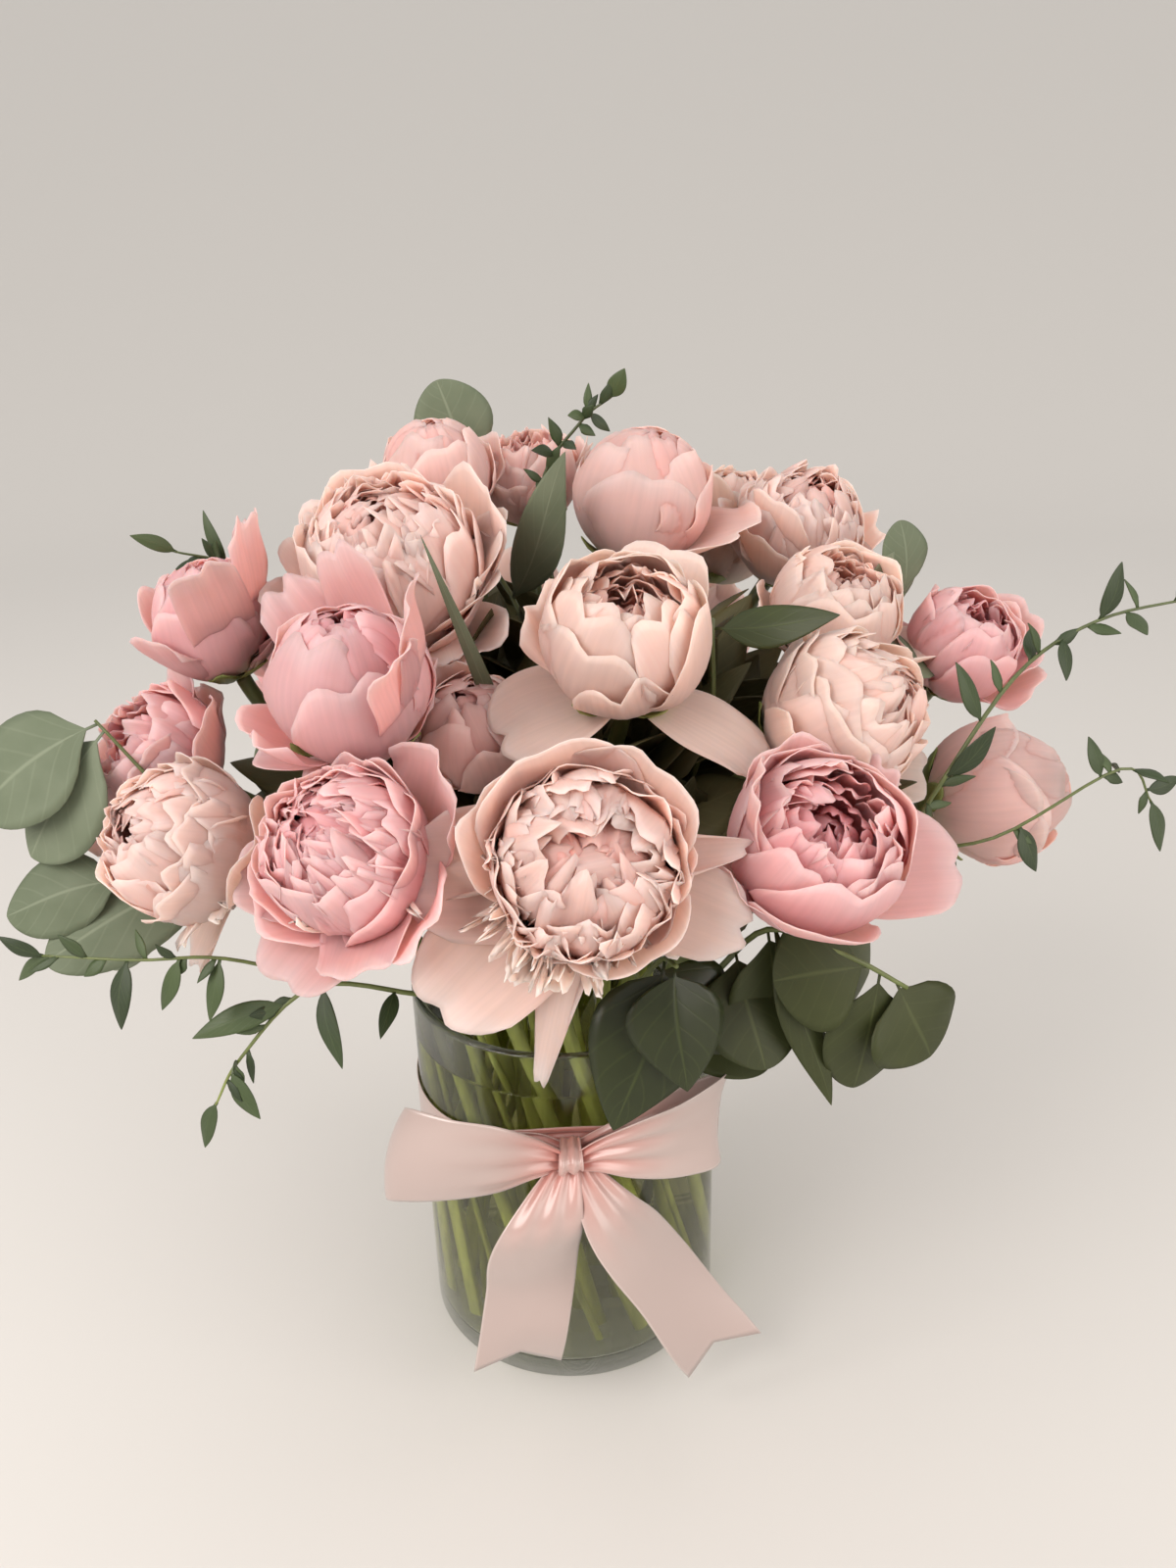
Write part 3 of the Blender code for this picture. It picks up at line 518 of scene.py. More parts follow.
# %% The blooms
BLOOMS = {
    "front": (58, (0, 28), (4, 30), "blown", 0.0, "pale", (
        (182, 62, 84, 58, 46, 14, 0.3), (222, 64, 92, 68, 44, 10, 0.3),
        (256, 64, 108, 74, 22, 10, 0.6), (4, 56, 76, 58, 24, 8, 0.5),
        (-24, 58, 82, 58, 32, 14, 0.5), (112, 64, 8, 60, 64, 8, 0.85),
        (52, 64, 12, 58, 54, 8, 0.9), (150, 66, 12, 58, 52, 18, 0.85),
        (-58, 72, 10, 54, 50, 4, 0.95))),
    "hot_pink": (52, (-30, 42), (-34, 46), "ruffled", 0.0, "pink", (
        (255, 60, 74, 50, 44, 10, 0.7), (205, 60, 42, 50, 36, 10, 0.8),
        (300, 62, 46, 50, 38, 16, 0.8), (20, 66, 6, 50, 42, 0, 1.0),
        (90, 66, 6, 50, 42, 6, 1.0))),
    "left_cream": (52, (-62, 25), (-46, 32), "full", 0.0, "pale", (
        (270, 70, 90, 48, 36, 8, 0.6), (10, 66, 2, 50, 44, 0, 1.0), (90, 64, 10, 48, 44, 0, 1.0),
        (320, 68, 6, 50, 44, 0, 1.0))),
    "left_low": (48, (-70, 40), (-58, 48), "bowl", 0.5, "pink", (
        (120, 56, 34, 50, 40, 8, 0.9), (235, 64, 46, 46, 38, 8, 0.9),
        (0, 60, 14, 46, 38, 0, 1.0))),
    "left_tall": (46, (-75, 72), (-15, 84), "bud", 0.3, "pink", (
        (60, 50, 2, 70, 30, 26, 0.7), (10, 54, 10, 66, 28, 40, 0.7),
        (135, 50, 6, 66, 22, 60, 0.7), (220, 66, -10, 54, 34, 6, 0.9))),
    "left_round": (54, (-50, 55), (-14, 78), "bud", 0.1, "pink", (
        (230, 66, 54, 48, 38, 6, 0.8), (165, 60, 22, 48, 34, 8, 1.0),
        (158, 64, 0, 70, 28, 70, 0.6), (120, 64, -6, 72, 26, 50, 0.7),
        (35, 64, -2, 74, 34, 62, 0.6), (8, 64, 6, 66, 28, 60, 0.7))),
    "ruffled": (66, (-15, 62), (-12, 60), "ruffled", 0.2, "pale", (
        (15, 60, 24, 66, 42, 10, 0.9), (300, 64, 62, 52, 34, 24, 0.7),
        (200, 64, 52, 60, 40, 12, 0.8), (120, 60, 22, 60, 44, 6, 0.9),
        (165, 62, 26, 62, 44, 10, 0.9), (340, 62, 34, 58, 40, 14, 0.9))),
    "top_left": (44, (-60, 70), (-18, 82), "bud", 0.1, "blush", ((150, 60, 10, 42, 32, 0, 1.0),)),
    "top_middle": (42, (180, 72), (-30, 80), "bowl", 0.4, "blush", (
        (180, 55, 18, 46, 28, 6, 0.9),)),
    "top_round": (56, (10, 62), (50, 80), "bud", 0.0, "blush", (
        (-50, 62, 40, 64, 50, 6, 0.8), (120, 60, 8, 48, 42, 0, 1.0))),
    "top_cream": (50, (140, 50), (60, 74), "full", 0.1, "cream", ((90, 60, 36, 48, 40, 6, 0.9),)),
    "right_upper": (50, (75, 58), (20, 60), "full", 0.1, "pale", (
        (150, 58, 26, 50, 40, 4, 0.9), (40, 58, 20, 50, 36, 4, 0.9),
        (270, 66, 16, 48, 44, 0, 1.0))),
    "right_bowl": (50, (45, 62), (30, 66), "bowl", 0.0, "cream", (
        (200, 62, 36, 48, 34, 8, 0.9),)),
    "middle": (56, (-5, 62), (8, 60), "bowl", 0.0, "cream", (
        (208, 74, 104, 50, 42, 10, 0.5), (-32, 80, 110, 58, 26, 34, 0.5),
        (70, 64, 4, 52, 44, 0, 1.0))),
    "shaded": (42, (-15, 25), (-10, 60), "bud", 0.2, "blush", (
        (200, 48, 34, 36, 34, 0, 0.9), (110, 50, 30, 40, 34, 0, 0.9))),
    "right_middle": (56, (55, 38), (58, 34), "full", 0.0, "cream", (
        (15, 60, 36, 50, 34, 8, 0.8), (-50, 62, 54, 56, 42, 8, 0.8),
        (180, 68, -6, 56, 54, 0, 1.0), (120, 68, 0, 54, 50, 0, 1.0),
        (235, 68, 4, 52, 46, 4, 1.0))),
    "right_high": (45, (60, 60), (34, 62), "bowl", 0.0, "pink", ((310, 60, 22, 46, 36, 4, 0.9),)),
    "right_bud": (54, (82, 15), (80, 14), "bud", 0.0, "blush", ((180, 66, 2, 52, 46, 0, 1.0),)),
    "right_front": (56, (25, 48), (20, 50), "bowl", 0.3, "pink", (
        (150, 54, 4, 66, 32, 6, 1.0), (95, 60, 10, 56, 44, 4, 1.0),
        (-18, 62, 76, 62, 44, 12, 0.6), (30, 60, 24, 54, 30, 6, 0.9))),
    "back_left": (54, (-125, 35), (-130, 45), "full", 0.1, "pink", (
        (200, 62, 64, 54, 42, 8, 0.8), (20, 60, 46, 50, 38, 8, 0.9))),
    "back_middle": (56, (190, 35), (185, 50), "bowl", 0.2, "cream", (
        (230, 62, 70, 56, 42, 8, 0.8), (-30, 60, 46, 52, 38, 8, 0.9))),
    "back_right": (54, (150, 30), (145, 40), "full", 0.2, "blush", (
        (300, 62, 64, 54, 40, 8, 0.8), (120, 58, 36, 50, 38, 8, 0.9))),
}
# Blooms with thread-like petals: between which two clock angles, and how many.
THREADS = {"front": (170, 300, 110), "hot_pink": (200, 340, 14), "left_cream": (200, 340, 14),
           "ruffled": (200, 340, 14)}
PETAL_THICKNESS = 0.35 * MM
# The petals' globe is this much wider than the bloom's table says.
GLOBE_SWELL = 1.04
BLOOM_SEED = 11

slot_of = {row["node"]: row["material_slot"] for row in frame["record"]["subparts"]}
globes = []
sepals = Sheets()
fringe = Sheets()
for number, (name, (size, faces, heart, kind, loose, tint, guards)) in enumerate(BLOOMS.items()):
    rng = random.Random(number + BLOOM_SEED)
    right, up, axis = facing(faces)
    base = stem_end(name, axis)
    radius = size / 2 * GLOBE_SWELL
    middle = base + axis * size / 2 * MM
    petals = Sheets()
    for clock, low, high, length, width, curl, cup in guards:
        grid = petal((base, right, up, axis), clock, length, width, (low, high), rng, cup=cup,
                     curl=curl, ruffle=2.0, crimp=0.3, frill=0.035, notch=0.06, start=(2, 2),
                     rows=22, cols=17, point=0.5 if width < 25 else 0.0)
        # Painted shade: guard petals take low shade values, so the petal finish paints them darker,
        # as they lie in the bloom's own shadow.
        petals.add(grid, rng.random() * 0.5, 0.0)
    turned = facing(heart)
    place = (middle - turned[2] * radius * MM, *turned)
    whorls(petals, rng, kind, place, radius, loose)
    frills(petals, rng, place, radius, FRILLS[kind])
    if name in THREADS:
        threads(fringe, rng, place, radius, *THREADS[name])
    bloom = petals.make(f"{name}_petals", PETALS[tint], PETAL_THICKNESS)
    place_piece(bloom, slot_of["bloom_" + name], "bloom_" + name)
    for i in range(5):
        grid = petal(place, 72 * i + rng.uniform(-16, 16), radius * rng.uniform(0.75, 1.0),
                     radius * rng.uniform(0.5, 0.8), (80, 44), rng, ruffle=0.8, point=0.3,
                     start=(1, 0.2), rows=8, cols=7)
        sepals.add(grid, rng.random())
    globes.append((middle, radius * MM))
pale_fringe = fringe.make("pale_petal_fringe", PETALS["fringe"], PETAL_THICKNESS)
place_piece(pale_fringe, slot_of["bloom_front"])
faces = sum(len(bpy.data.objects[name + "_petals"].data.polygons) for name in BLOOMS)
print(len(BLOOMS), "blooms,", faces, "faces")

# %% [markdown]
# ## Green finishes
# The bunch has several greens. A peony's stem is smooth, fleshy and yellow-green. It is
# painted paler low down, as if lit through the glass and water, and darker up among the
# blooms, in painted shade. Silver-dollar eucalyptus is matte and grey-green, from a bloom of wax.
# Salal is leathery and shines. The narrow sprigs are darker and thinner. Every leaf has a
# midrib and side veins, which follow the leaf's own map.


# %% Leaf and stem materials
def leaf_finish(name, dark, light, vein, roughness, gloss, vein_count, side_veins, lets_through):
    """A leaf finish: two greens in patches, with a midrib and side veins."""
    material, tree, shader, output = new_material(name)
    sheet_map = add_node(tree, "UVMap", uv_map="sheet")
    parts = add_node(tree, "SeparateXYZ", {"Vector": sheet_map.outputs["UV"]})
    shade = add_node(tree, "Attribute", attribute_name="shade").outputs["Fac"]
    place = add_node(tree, "TexCoord")
    # Patches of the two greens: 45 to the metre, so about 22 mm across.
    patches = add_node(tree, "TexNoise",
                       {"Vector": place.outputs["Object"], "Scale": 45.0, "Detail": 4.0})
    mixed = add_node(tree, "Math", {0: patches.outputs["Fac"], 1: shade}, operation="ADD")
    spread = add_node(tree, "MapRange",
                      {"Value": mixed, "From Min": 0.5, "From Max": 1.5})
    body = add_node(tree, "Mix", {"Factor": spread, "A": linear(dark),
                                  "B": linear(light)}, data_type="RGBA")
    # The midrib runs up the middle of the leaf. The side veins are a repeated line that slopes
    # away from it, vein_count of them to the leaf's length.
    centred = add_node(tree, "Math", {0: parts.outputs["X"], 1: 0.5}, operation="SUBTRACT")
    side = add_node(tree, "Math", {0: centred}, operation="ABSOLUTE")
    midrib = add_node(tree, "MapRange", {"Value": side, "From Min": 0.006,
                                         "From Max": 0.026, "To Min": 0.38, "To Max": 0.0})
    slope = add_node(tree, "Math", {0: side, 1: -0.55}, operation="MULTIPLY")
    angled = add_node(tree, "Math", {0: parts.outputs["Y"], 1: slope},
                      operation="ADD")
    counted = add_node(tree, "Math", {0: angled, 1: vein_count},
                       operation="MULTIPLY")
    saw = add_node(tree, "Math", {0: counted, 1: 0.5}, operation="PINGPONG")
    lines = add_node(tree, "MapRange", {"Value": saw, "From Min": 0.0,
                                        "From Max": 0.09, "To Min": side_veins, "To Max": 0.0})
    both = add_node(tree, "Math", {0: midrib, 1: lines},
                    operation="MAXIMUM")
    veined = add_node(tree, "Mix", {"Factor": both, "A": body.outputs["Result"],
                                    "B": linear(vein)}, data_type="RGBA")
    bump = add_node(tree, "Bump",
                    {"Height": both, "Strength": 0.35, "Distance": -0.4 * MM})
    set_inputs(tree, shader, {
        "Base Color": veined.outputs["Result"], "Normal": bump,
        "Roughness": roughness, "Specular IOR Level": gloss})
    through = add_node(tree, "BsdfTranslucent", {"Color": veined.outputs["Result"]})
    mix = add_node(tree, "MixShader",
                   {0: lets_through, 1: shader, 2: through})
    set_inputs(tree, output, {"Surface": mix})
    return material


EUCALYPTUS = leaf_finish(
    "waxy eucalyptus leaf", "646E57", "858E78", "9AA28A", 0.6, 0.3, 7, 0.12, 0.12)
SALAL = leaf_finish("leathery salal leaf", "232A12", "3A421F", "4C562A", 0.34, 0.4, 7, 0.18, 0.06)
NARROW = leaf_finish("narrow sprig leaf", "2E3A24", "4A5937", "5A6842", 0.45, 0.4, 9, 0.25, 0.12)
DARK_ROUND = leaf_finish(
    "shaded eucalyptus leaf", "2E3319", "444A28", "5A613A", 0.5, 0.3, 7, 0.1, 0.08)
# Painted shade in part: the peony leaves' dark brownish green is that of the shade between the
# blooms.
FOLIAGE = leaf_finish("peony leaf", "43412B", "5F5C3C", "6A6745", 0.55, 0.3, 8, 0.25, 0.15)
FOLIAGE_SEPAL = leaf_finish("peony sepal", "6E7A3E", "A3A765", "8C9452", 0.5, 0.4, 6, 0.3, 0.2)

STEM, stem_tree, stem_shader, _ = new_material("fresh peony stem")
stem_place = add_node(stem_tree, "TexCoord")
stem_height = add_node(stem_tree, "SeparateXYZ", {"Vector": stem_place.outputs["Object"]})
stem_rise = add_node(stem_tree, "MapRange",
                     {"Value": stem_height.outputs["Z"], "From Min": 0.0, "From Max": 0.4})
# Grain: 700 and 60 to the metre, each times 0.4, so 3.6 mm across the stem and 42 mm along it.
stem_drawn = add_node(stem_tree, "Mapping",
                      {"Vector": stem_place.outputs["Object"], "Scale": (700, 700, 60)})
stem_grain = add_node(stem_tree, "TexNoise",
                      {"Vector": stem_drawn.outputs["Vector"], "Scale": 0.4, "Detail": 4.0})
# Painted light and shade by height: pale yellow-green in the water, as if lit through the glass,
# and dark olive above the rim, in the blooms' shade.
stem_green_lit_and_shaded = add_node(stem_tree, "ValToRGB", {"Fac": stem_rise}, stops=(
    (0.0, "C4C878"), (0.38, "A9B060"), (0.52, "66703E"), (1.0, "444C2C")))
stem_lift = add_node(stem_tree, "MapRange", {"Value": stem_grain.outputs["Fac"], "From Min": 0.3,
                                             "From Max": 0.7, "To Min": 0.8, "To Max": 1.15})
stem_colour = add_node(stem_tree, "VectorMath", {0: stem_green_lit_and_shaded.outputs["Color"],
                                                 "Scale": stem_lift}, operation="SCALE")
set_inputs(stem_tree, stem_shader, {
    "Base Color": stem_colour, "Roughness": 0.42, "Subsurface Weight": 0.15,
    "Subsurface Radius": (0.002, 0.003, 0.001), "Subsurface Scale": 1.0})
calyx = sepals.make("peony_sepals", FOLIAGE_SEPAL, 0.5 * MM)
place_piece(calyx, "peony_stem")
print("green finishes ready")

# %% [markdown]
# ## Stems
# The peony stems already run where they should, but as plain tubes with six sides. A copy is
# merged, rounded by two levels of subdivision, and swelled a little so that it keeps its
# thickness, because subdivision shrinks a tube.


# %% Peony stems
for name in BLOOMS:
    source = frame["nodes"]["stem_" + name]
    stem = add_object(f"{name}_stalk", source.data.copy())
    stem.data.materials.clear()
    stem.data.materials.append(STEM)
    make_active(stem)
    bpy.ops.object.mode_set(mode="EDIT")
    bpy.ops.mesh.select_all(action="SELECT")
    bpy.ops.mesh.remove_doubles(threshold=MERGE_WITHIN)
    bpy.ops.mesh.dissolve_limited(angle_limit=math.radians(1))
    ends = bmesh.from_edit_mesh(stem.data)
    crease = ends.edges.layers.float.new("crease_edge")
    for face in ends.faces:
        for edge in face.edges if len(face.edges) > 4 else ():
            edge[crease] = 1.0
    bmesh.update_edit_mesh(stem.data)
    bpy.ops.object.mode_set(mode="OBJECT")
    apply_modifier(stem, "SUBSURF", levels=2, render_levels=2)
    apply_modifier(stem, "DISPLACE", strength=0.45 * MM, mid_level=0.0)
    stem.data.shade_smooth()
    place_piece(stem, "peony_stem", "stem_" + name)
print(len(BLOOMS), "stems")

# %% [markdown]
# ## Leaves and sprigs
# A leaf is a grid between its joint and its tip. Its outline gives it its kind: round for
# the eucalyptus, broad with a point for the salal, and narrow for the sprigs. It is folded
# a little along the midrib, it droops, and its edge waves. Its twig is a tapering tube
# along a smooth curve that starts in the water, where the frame's own branch stands.


# %% Leaf and twig shapes
def outline_of(kind, t):
    """A leaf's half-width at each share of its length, as a share of its widest."""
    if kind == "round":
        blade = np.clip((t - 0.14) / 0.86, 0, 1)
        return np.sin(math.pi * blade ** 0.92) ** 0.56
    if kind == "ovate":
        blade = np.clip((t - 0.1) / 0.9, 0, 1)
        return np.sin(math.pi * blade ** 0.72) ** 0.85 * (1 - 0.25 * blade)
    blade = np.clip((t - 0.06) / 0.94, 0, 1)
    return np.sin(math.pi * blade ** 0.8) ** 0.9


def leaf(joint, tip, width, kind, rng, droop=0.07, fold=0.16, wave=0.05, face=None, rows=20,
         cols=11):
    """A grid of a leaf's points, from its joint to its tip."""
    run = tip - joint
    length = np.linalg.norm(run)
    if face is None:
        face = np.array((0.3 * tip[0], 0.1 if tip[1] > 0.09 else -0.1, 0.05))
    across = np.cross(run, face / np.linalg.norm(face))
    across /= np.linalg.norm(across)
    normal = np.cross(across, run) / length
    t = np.sin(np.linspace(0, math.pi / 2, rows))
    u = np.linspace(-1, 1, cols)
    half = np.maximum(outline_of(kind, t) * width * MM / 2, 0.55 * MM * (t < 0.3))
    middle = joint + run * t[:, None] + normal * (length * droop * 4 * t * (1 - t))[:, None]
    lift = -fold * np.abs(u)[None, :] * half[:, None] * rng.uniform(0.5, 1.3)
    shake = wave * half[:, None] * u[None, :] ** 2 * waves(rng, t, 2, 0.8, 2.0)[:, None]
    sway = length * 0.03 * np.sin(t * math.pi * rng.uniform(0.8, 1.6)) * rng.choice((-1, 1))
    grid = middle[:, None] + across * (half[:, None] * u[None, :] + sway[:, None])[..., None]
    return grid + normal * (lift + shake)[..., None]


def smooth_route(points, per_span):
    """A Catmull-Rom curve through the points."""
    points = [np.asarray(p, float) for p in points]
    ends = [2 * points[0] - points[1], *points, 2 * points[-1] - points[-2]]
    curve = [points[0]]
    for before, start, stop, after in zip(ends, ends[1:], ends[2:], ends[3:]):
        for i in range(1, per_span + 1):
            t = i / per_span
            curve.append(0.5 * (2 * start + (stop - before) * t
                                + (2 * before - 5 * start + 4 * stop - after) * t * t
                                + (3 * start - before - 3 * stop + after) * t ** 3))
    return curve


def tube(made, route, thick, thin, sides=8):
    """Adds a closed tube along the route to a bmesh, from one radius to the other."""
    rings = []
    side = None
    for i, point in enumerate(route):
        along = Vector(route[min(i + 1, len(route) - 1)] - route[max(i - 1, 0)]).normalized()
        side = along.orthogonal() if side is None else side - along * side.dot(along)
        side = side.normalized()
        other = along.cross(side)
        radius = thick + (thin - thick) * i / (len(route) - 1)
        turns = [math.tau * k / sides for k in range(sides)]
        ring = [(side * math.cos(t) + other * math.sin(t)) * radius for t in turns]
        rings.append([made.verts.new(Vector(point) + offset) for offset in ring])
    for low, high in zip(rings, rings[1:]):
        for k in range(sides):
            j = (k + 1) % sides
            made.faces.new((low[k], low[j], high[j], high[k]))
    made.faces.new(rings[0][::-1])
    made.faces.new(rings[-1])


def on_route(route, share):
    """The point this share of the way along a route, counted by its points."""
    place = share * (len(route) - 1)
    low = min(int(place), len(route) - 2)
    return route[low] + (route[low + 1] - route[low]) * (place - low)


def mesh_object(name, made, material):
    """An object from a bmesh, with its faces turned outwards and shaded smooth."""
    bmesh.ops.recalc_face_normals(made, faces=made.faces)
    mesh = bpy.data.meshes.new(name)
    made.to_mesh(mesh)
    made.free()
    mesh.materials.append(material)
    mesh.shade_smooth()
    return add_object(name, mesh)


print("leaf and twig shapes ready")

# %% [markdown]
# Each branch: its finish; where it runs once it is over the rim; its side twigs, each with
# where it leaves the branch and where it runs; and its leaves. A leaf is given by its twig
# (0 for the branch itself), where it is joined, its tip, its width and its kind. Places are
# in mm.

# %% The branches
BRANCHES = {
    "eucalyptus_left": (
        EUCALYPTUS, ((-92, -20, 238), (-130, -48, 256), (-168, -62, 262)),
        ((0.66, (-145, -54, 290), (-172, -48, 322)),),
        ((0, 0.76, (-198, -74, 236), 38, "round"), (0, 0.98, (-214, -62, 250), 32, "round"),
         (0, 0.86, (-190, -50, 222), 36, "round"), (1, 0.98, (-220, -52, 288), 46, "round"),
         (1, 0.94, (-204, -54, 270), 44, "round"))),
    "eucalyptus_top": (
        EUCALYPTUS, ((-14, 8, 250), (-10, 18, 330), (-34, 70, 366), (-34, 78, 396)), (),
        ((0, 0.97, (-47, 78, 432), 36, "round"), (0, 0.9, (-70, 96, 400), 34, "round"),
         (0, 0.66, (10, -10, 409), 21, "blade"), (0, 0.42, (-43, -88, 394), 7, "blade"))),
    "eucalyptus_right": (
        EUCALYPTUS, ((56, 16, 250), (100, 24, 300), (136, 14, 326), (146, 2, 348)), (),
        ((0, 0.99, (142, 2, 378), 24, "round"), (0, 0.9, (139, -2, 366), 32, "round"),
         (0, 0.86, (144, -30, 322), 34, "round"))),
    "eucalyptus_low": (
        DARK_ROUND, ((58, -72, 215), (76, -92, 246), (104, -104, 240), (126, -104, 226)), (),
        ((0, 0.5, (72, -112, 198), 40, "round"), (0, 0.62, (97, -112, 180), 16, "blade"),
         (0, 0.9, (108, -106, 184), 34, "round"), (0, 0.96, (136, -106, 196), 44, "round"),
         (0, 0.7, (122, -70, 214), 44, "round"), (0, 0.3, (78, -84, 176), 44, "round"),
         (0, 0.86, (76, -106, 232), 44, "round"), (0, 0.6, (84, -90, 194), 40, "round"))),
    "salal_front": (
        SALAL, ((26, -68, 205), (36, -94, 236), (40, -112, 244)), (),
        ((0, 0.8, (18, -118, 178), 50, "ovate"), (0, 0.97, (42, -120, 196), 40, "ovate"),
         (0, 0.7, (60, -102, 200), 40, "ovate"))),
    "salal_upper": (
        SALAL, ((40, -30, 250), (58, -52, 310), (57, -68, 358)), (),
        ((0, 0.98, (104, -62, 355), 17, "ovate"),)),
    "narrow_leaf_top": (
        NARROW, ((6, 10, 250), (4, 24, 330), (-2, 40, 388), (15, 36, 416), (29, 32, 427)), (),
        ((0, 0.98, (35, 26, 441), 10, "blade"), (0, 0.86, (8, 30, 420), 6, "blade"),
         (0, 0.88, (30, 38, 410), 6, "blade"), (0, 0.74, (-8, 26, 408), 7, "blade"))),
    "narrow_leaf_high": (
        NARROW, ((-58, 14, 250), (-106, 34, 322), (-130, 30, 360), (-156, 20, 372)), (),
        ((0, 0.98, (-174, 14, 382), 8, "blade"), (0, 0.9, (-160, 10, 358), 8, "blade"),
         (0, 0.8, (-116, 16, 384), 10, "blade"), (0, 0.84, (-146, 34, 392), 7, "blade"))),
    "narrow_leaf_right": (
        NARROW, ((92, -10, 226), (130, -60, 262), (136, -82, 292), (166, -72, 334),
         (196, -66, 352), (234, -60, 358)),
        ((0.42, (160, -84, 276), (206, -80, 300), (222, -76, 284)),),
        ((0, 0.60, (160, -88, 326), 11, "blade"), (0, 0.66, (138, -78, 348), 10, "blade"),
         (0, 0.74, (176, -56, 352), 9, "blade"), (0, 0.80, (182, -80, 330), 9, "blade"),
         (0, 0.86, (206, -62, 378), 12, "blade"), (0, 0.90, (214, -74, 346), 12, "blade"),
         (0, 0.97, (238, -54, 376), 9, "blade"), (0, 0.99, (244, -64, 346), 10, "blade"),
         (1, 0.4, (178, -88, 258), 12, "blade"), (1, 0.6, (192, -76, 316), 10, "blade"),
         (1, 0.98, (226, -84, 262), 12, "blade"), (1, 0.9, (238, -70, 292), 8, "blade"))),
    "narrow_leaf_left": (
        NARROW, ((-58, -72, 212), (-92, -96, 232), (-120, -104, 208), (-132, -106, 188)),
        ((0.55, (-120, -104, 250), (-150, -106, 252), (-186, -100, 252)),),
        ((0, 0.58, (-82, -112, 196), 10, "blade"), (0, 0.45, (-70, -108, 210), 9, "blade"),
         (0, 0.66, (-146, -106, 214), 13, "blade"), (0, 0.85, (-112, -112, 180), 10, "blade"),
         (0, 0.98, (-140, -108, 166), 9, "blade"), (1, 0.35, (-128, -112, 222), 9, "blade"),
         (1, 0.5, (-146, -108, 226), 9, "blade"), (1, 0.7, (-158, -116, 222), 12, "blade"),
         (1, 0.97, (-202, -94, 236), 7, "blade"), (1, 0.99, (-204, -98, 262), 7, "blade"))),
    "eucalyptus_back": (
        EUCALYPTUS, ((0, 84, 226), (14, 122, 256), (16, 150, 256), (20, 172, 246)),
        ((0.45, (62, 140, 240), (98, 142, 252), (128, 128, 258)),
         (0.45, (-52, 132, 250), (-92, 128, 262), (-126, 108, 262))),
        ((0, 0.8, (-12, 168, 214), 38, "round"), (0, 0.97, (30, 186, 208), 40, "round"),
         (1, 0.5, (80, 158, 214), 38, "round"), (1, 0.98, (156, 128, 232), 36, "round"),
         (2, 0.5, (-84, 150, 222), 38, "round"), (2, 0.98, (-154, 110, 236), 38, "round"))),
}
LEAF_THICKNESS = 0.4 * MM
RIM_HEIGHT = 178 * MM
# The route's points to each span, and the extra small leaves of a narrow sprig.
PER_SPAN = 6
SMALL_LEAVES = 16
BRANCH_SEED = 301

for number, (name, (finish, course, twigs, leaves)) in enumerate(BRANCHES.items()):
    rng = random.Random(number + BRANCH_SEED)
    solid = node_points(name)
    foot = solid[solid[:, 2] < solid[:, 2].min() + 2.5 * MM].mean(axis=0)
    at_rim = np.abs(solid[:, 2] - RIM_HEIGHT) < 2 * MM
    rim = solid[at_rim & (np.hypot(solid[:, 0], solid[:, 1]) < 66 * MM)].mean(axis=0)
    upward = (rim - foot) / np.linalg.norm(rim - foot)
    route = smooth_route([rim, rim + upward * 14 * MM, *(np.array(p) * MM for p in course)],
                         PER_SPAN)
    made = bmesh.new()
    fine = finish is NARROW
    tube(made, [foot, *route], 1.6 * MM, 0.45 * MM if fine else 0.9 * MM)
    routes = [route]
    for share, *points in twigs:
        side = smooth_route([on_route(route, share), *(np.array(p) * MM for p in points)],
                            PER_SPAN)
        tube(made, side, 0.8 * MM if fine else 1.1 * MM, 0.4 * MM if fine else 0.6 * MM)
        routes.append(side)
    twig = mesh_object(f"{name}_twigs", made, STEM)
    place_piece(twig, slot_of[name], name)
    blades = Sheets()
    for line, share, tip, width, kind in leaves:
        joint = on_route(routes[line], share)
        shorter = 0.78 if fine else 1.0
        grid = leaf(joint, joint + (np.array(tip) * MM - joint) * shorter, width * shorter, kind,
                    rng)
        blades.add(grid, rng.random())
    for i in range(SMALL_LEAVES if fine else 0):
        line = routes[i % len(routes)]
        share = rng.uniform(0.5 if i % len(routes) == 0 else 0.1, 0.95)
        joint = on_route(line, share)
        ahead = on_route(line, min(share + 0.08, 1)) - on_route(line, share - 0.08)
        aside = np.array([rng.gauss(0, 1), rng.gauss(0, 0.4), rng.gauss(0, 1)])
        way = ahead / np.linalg.norm(ahead) * 0.9 + aside / np.linalg.norm(aside)
        grid = leaf(joint, joint + way / np.linalg.norm(way) * rng.uniform(8, 14) * MM,
                    rng.uniform(3.5, 6), "ovate", rng, rows=10, cols=5)
        blades.add(grid, rng.random())
    leafage = blades.make(f"{name}_leaves", finish, LEAF_THICKNESS)
    place_piece(leafage, slot_of[name], name)
print(len(BRANCHES), "branches")

# %% [markdown]
# ## Foliage between the blooms
# A cut peony keeps its upper leaves, and they fill the space under and between the blooms
# with dark green. They also stand in for the shade in the gaps between the blooms, and their
# dark brownish green is partly painted shade. They are set by chance inside the dome, each
# from its inside outwards, and one is kept only if the outer part of its midline stays clear
# of every bloom's globe. Its edges, and petals that stand off a globe, can still cross.

# %% Foliage
FOLIAGE_SEED = 77
FOLIAGE_TRIES = 16000
FOLIAGE_LEAVES = 380
# The dome that the leaves fill: its middle, and how far it reaches each way, in metres.
DOME_CENTRE = np.array((0, 0, 0.2))
DOME = np.array((0.178, 0.14, 0.19))


def clear_of_blooms(points):
    """Whether every point is at least 1.5 mm outside every bloom's globe."""
    return all(np.linalg.norm(point - middle) > radius + 1.5 * MM
               for point in points for middle, radius in globes)


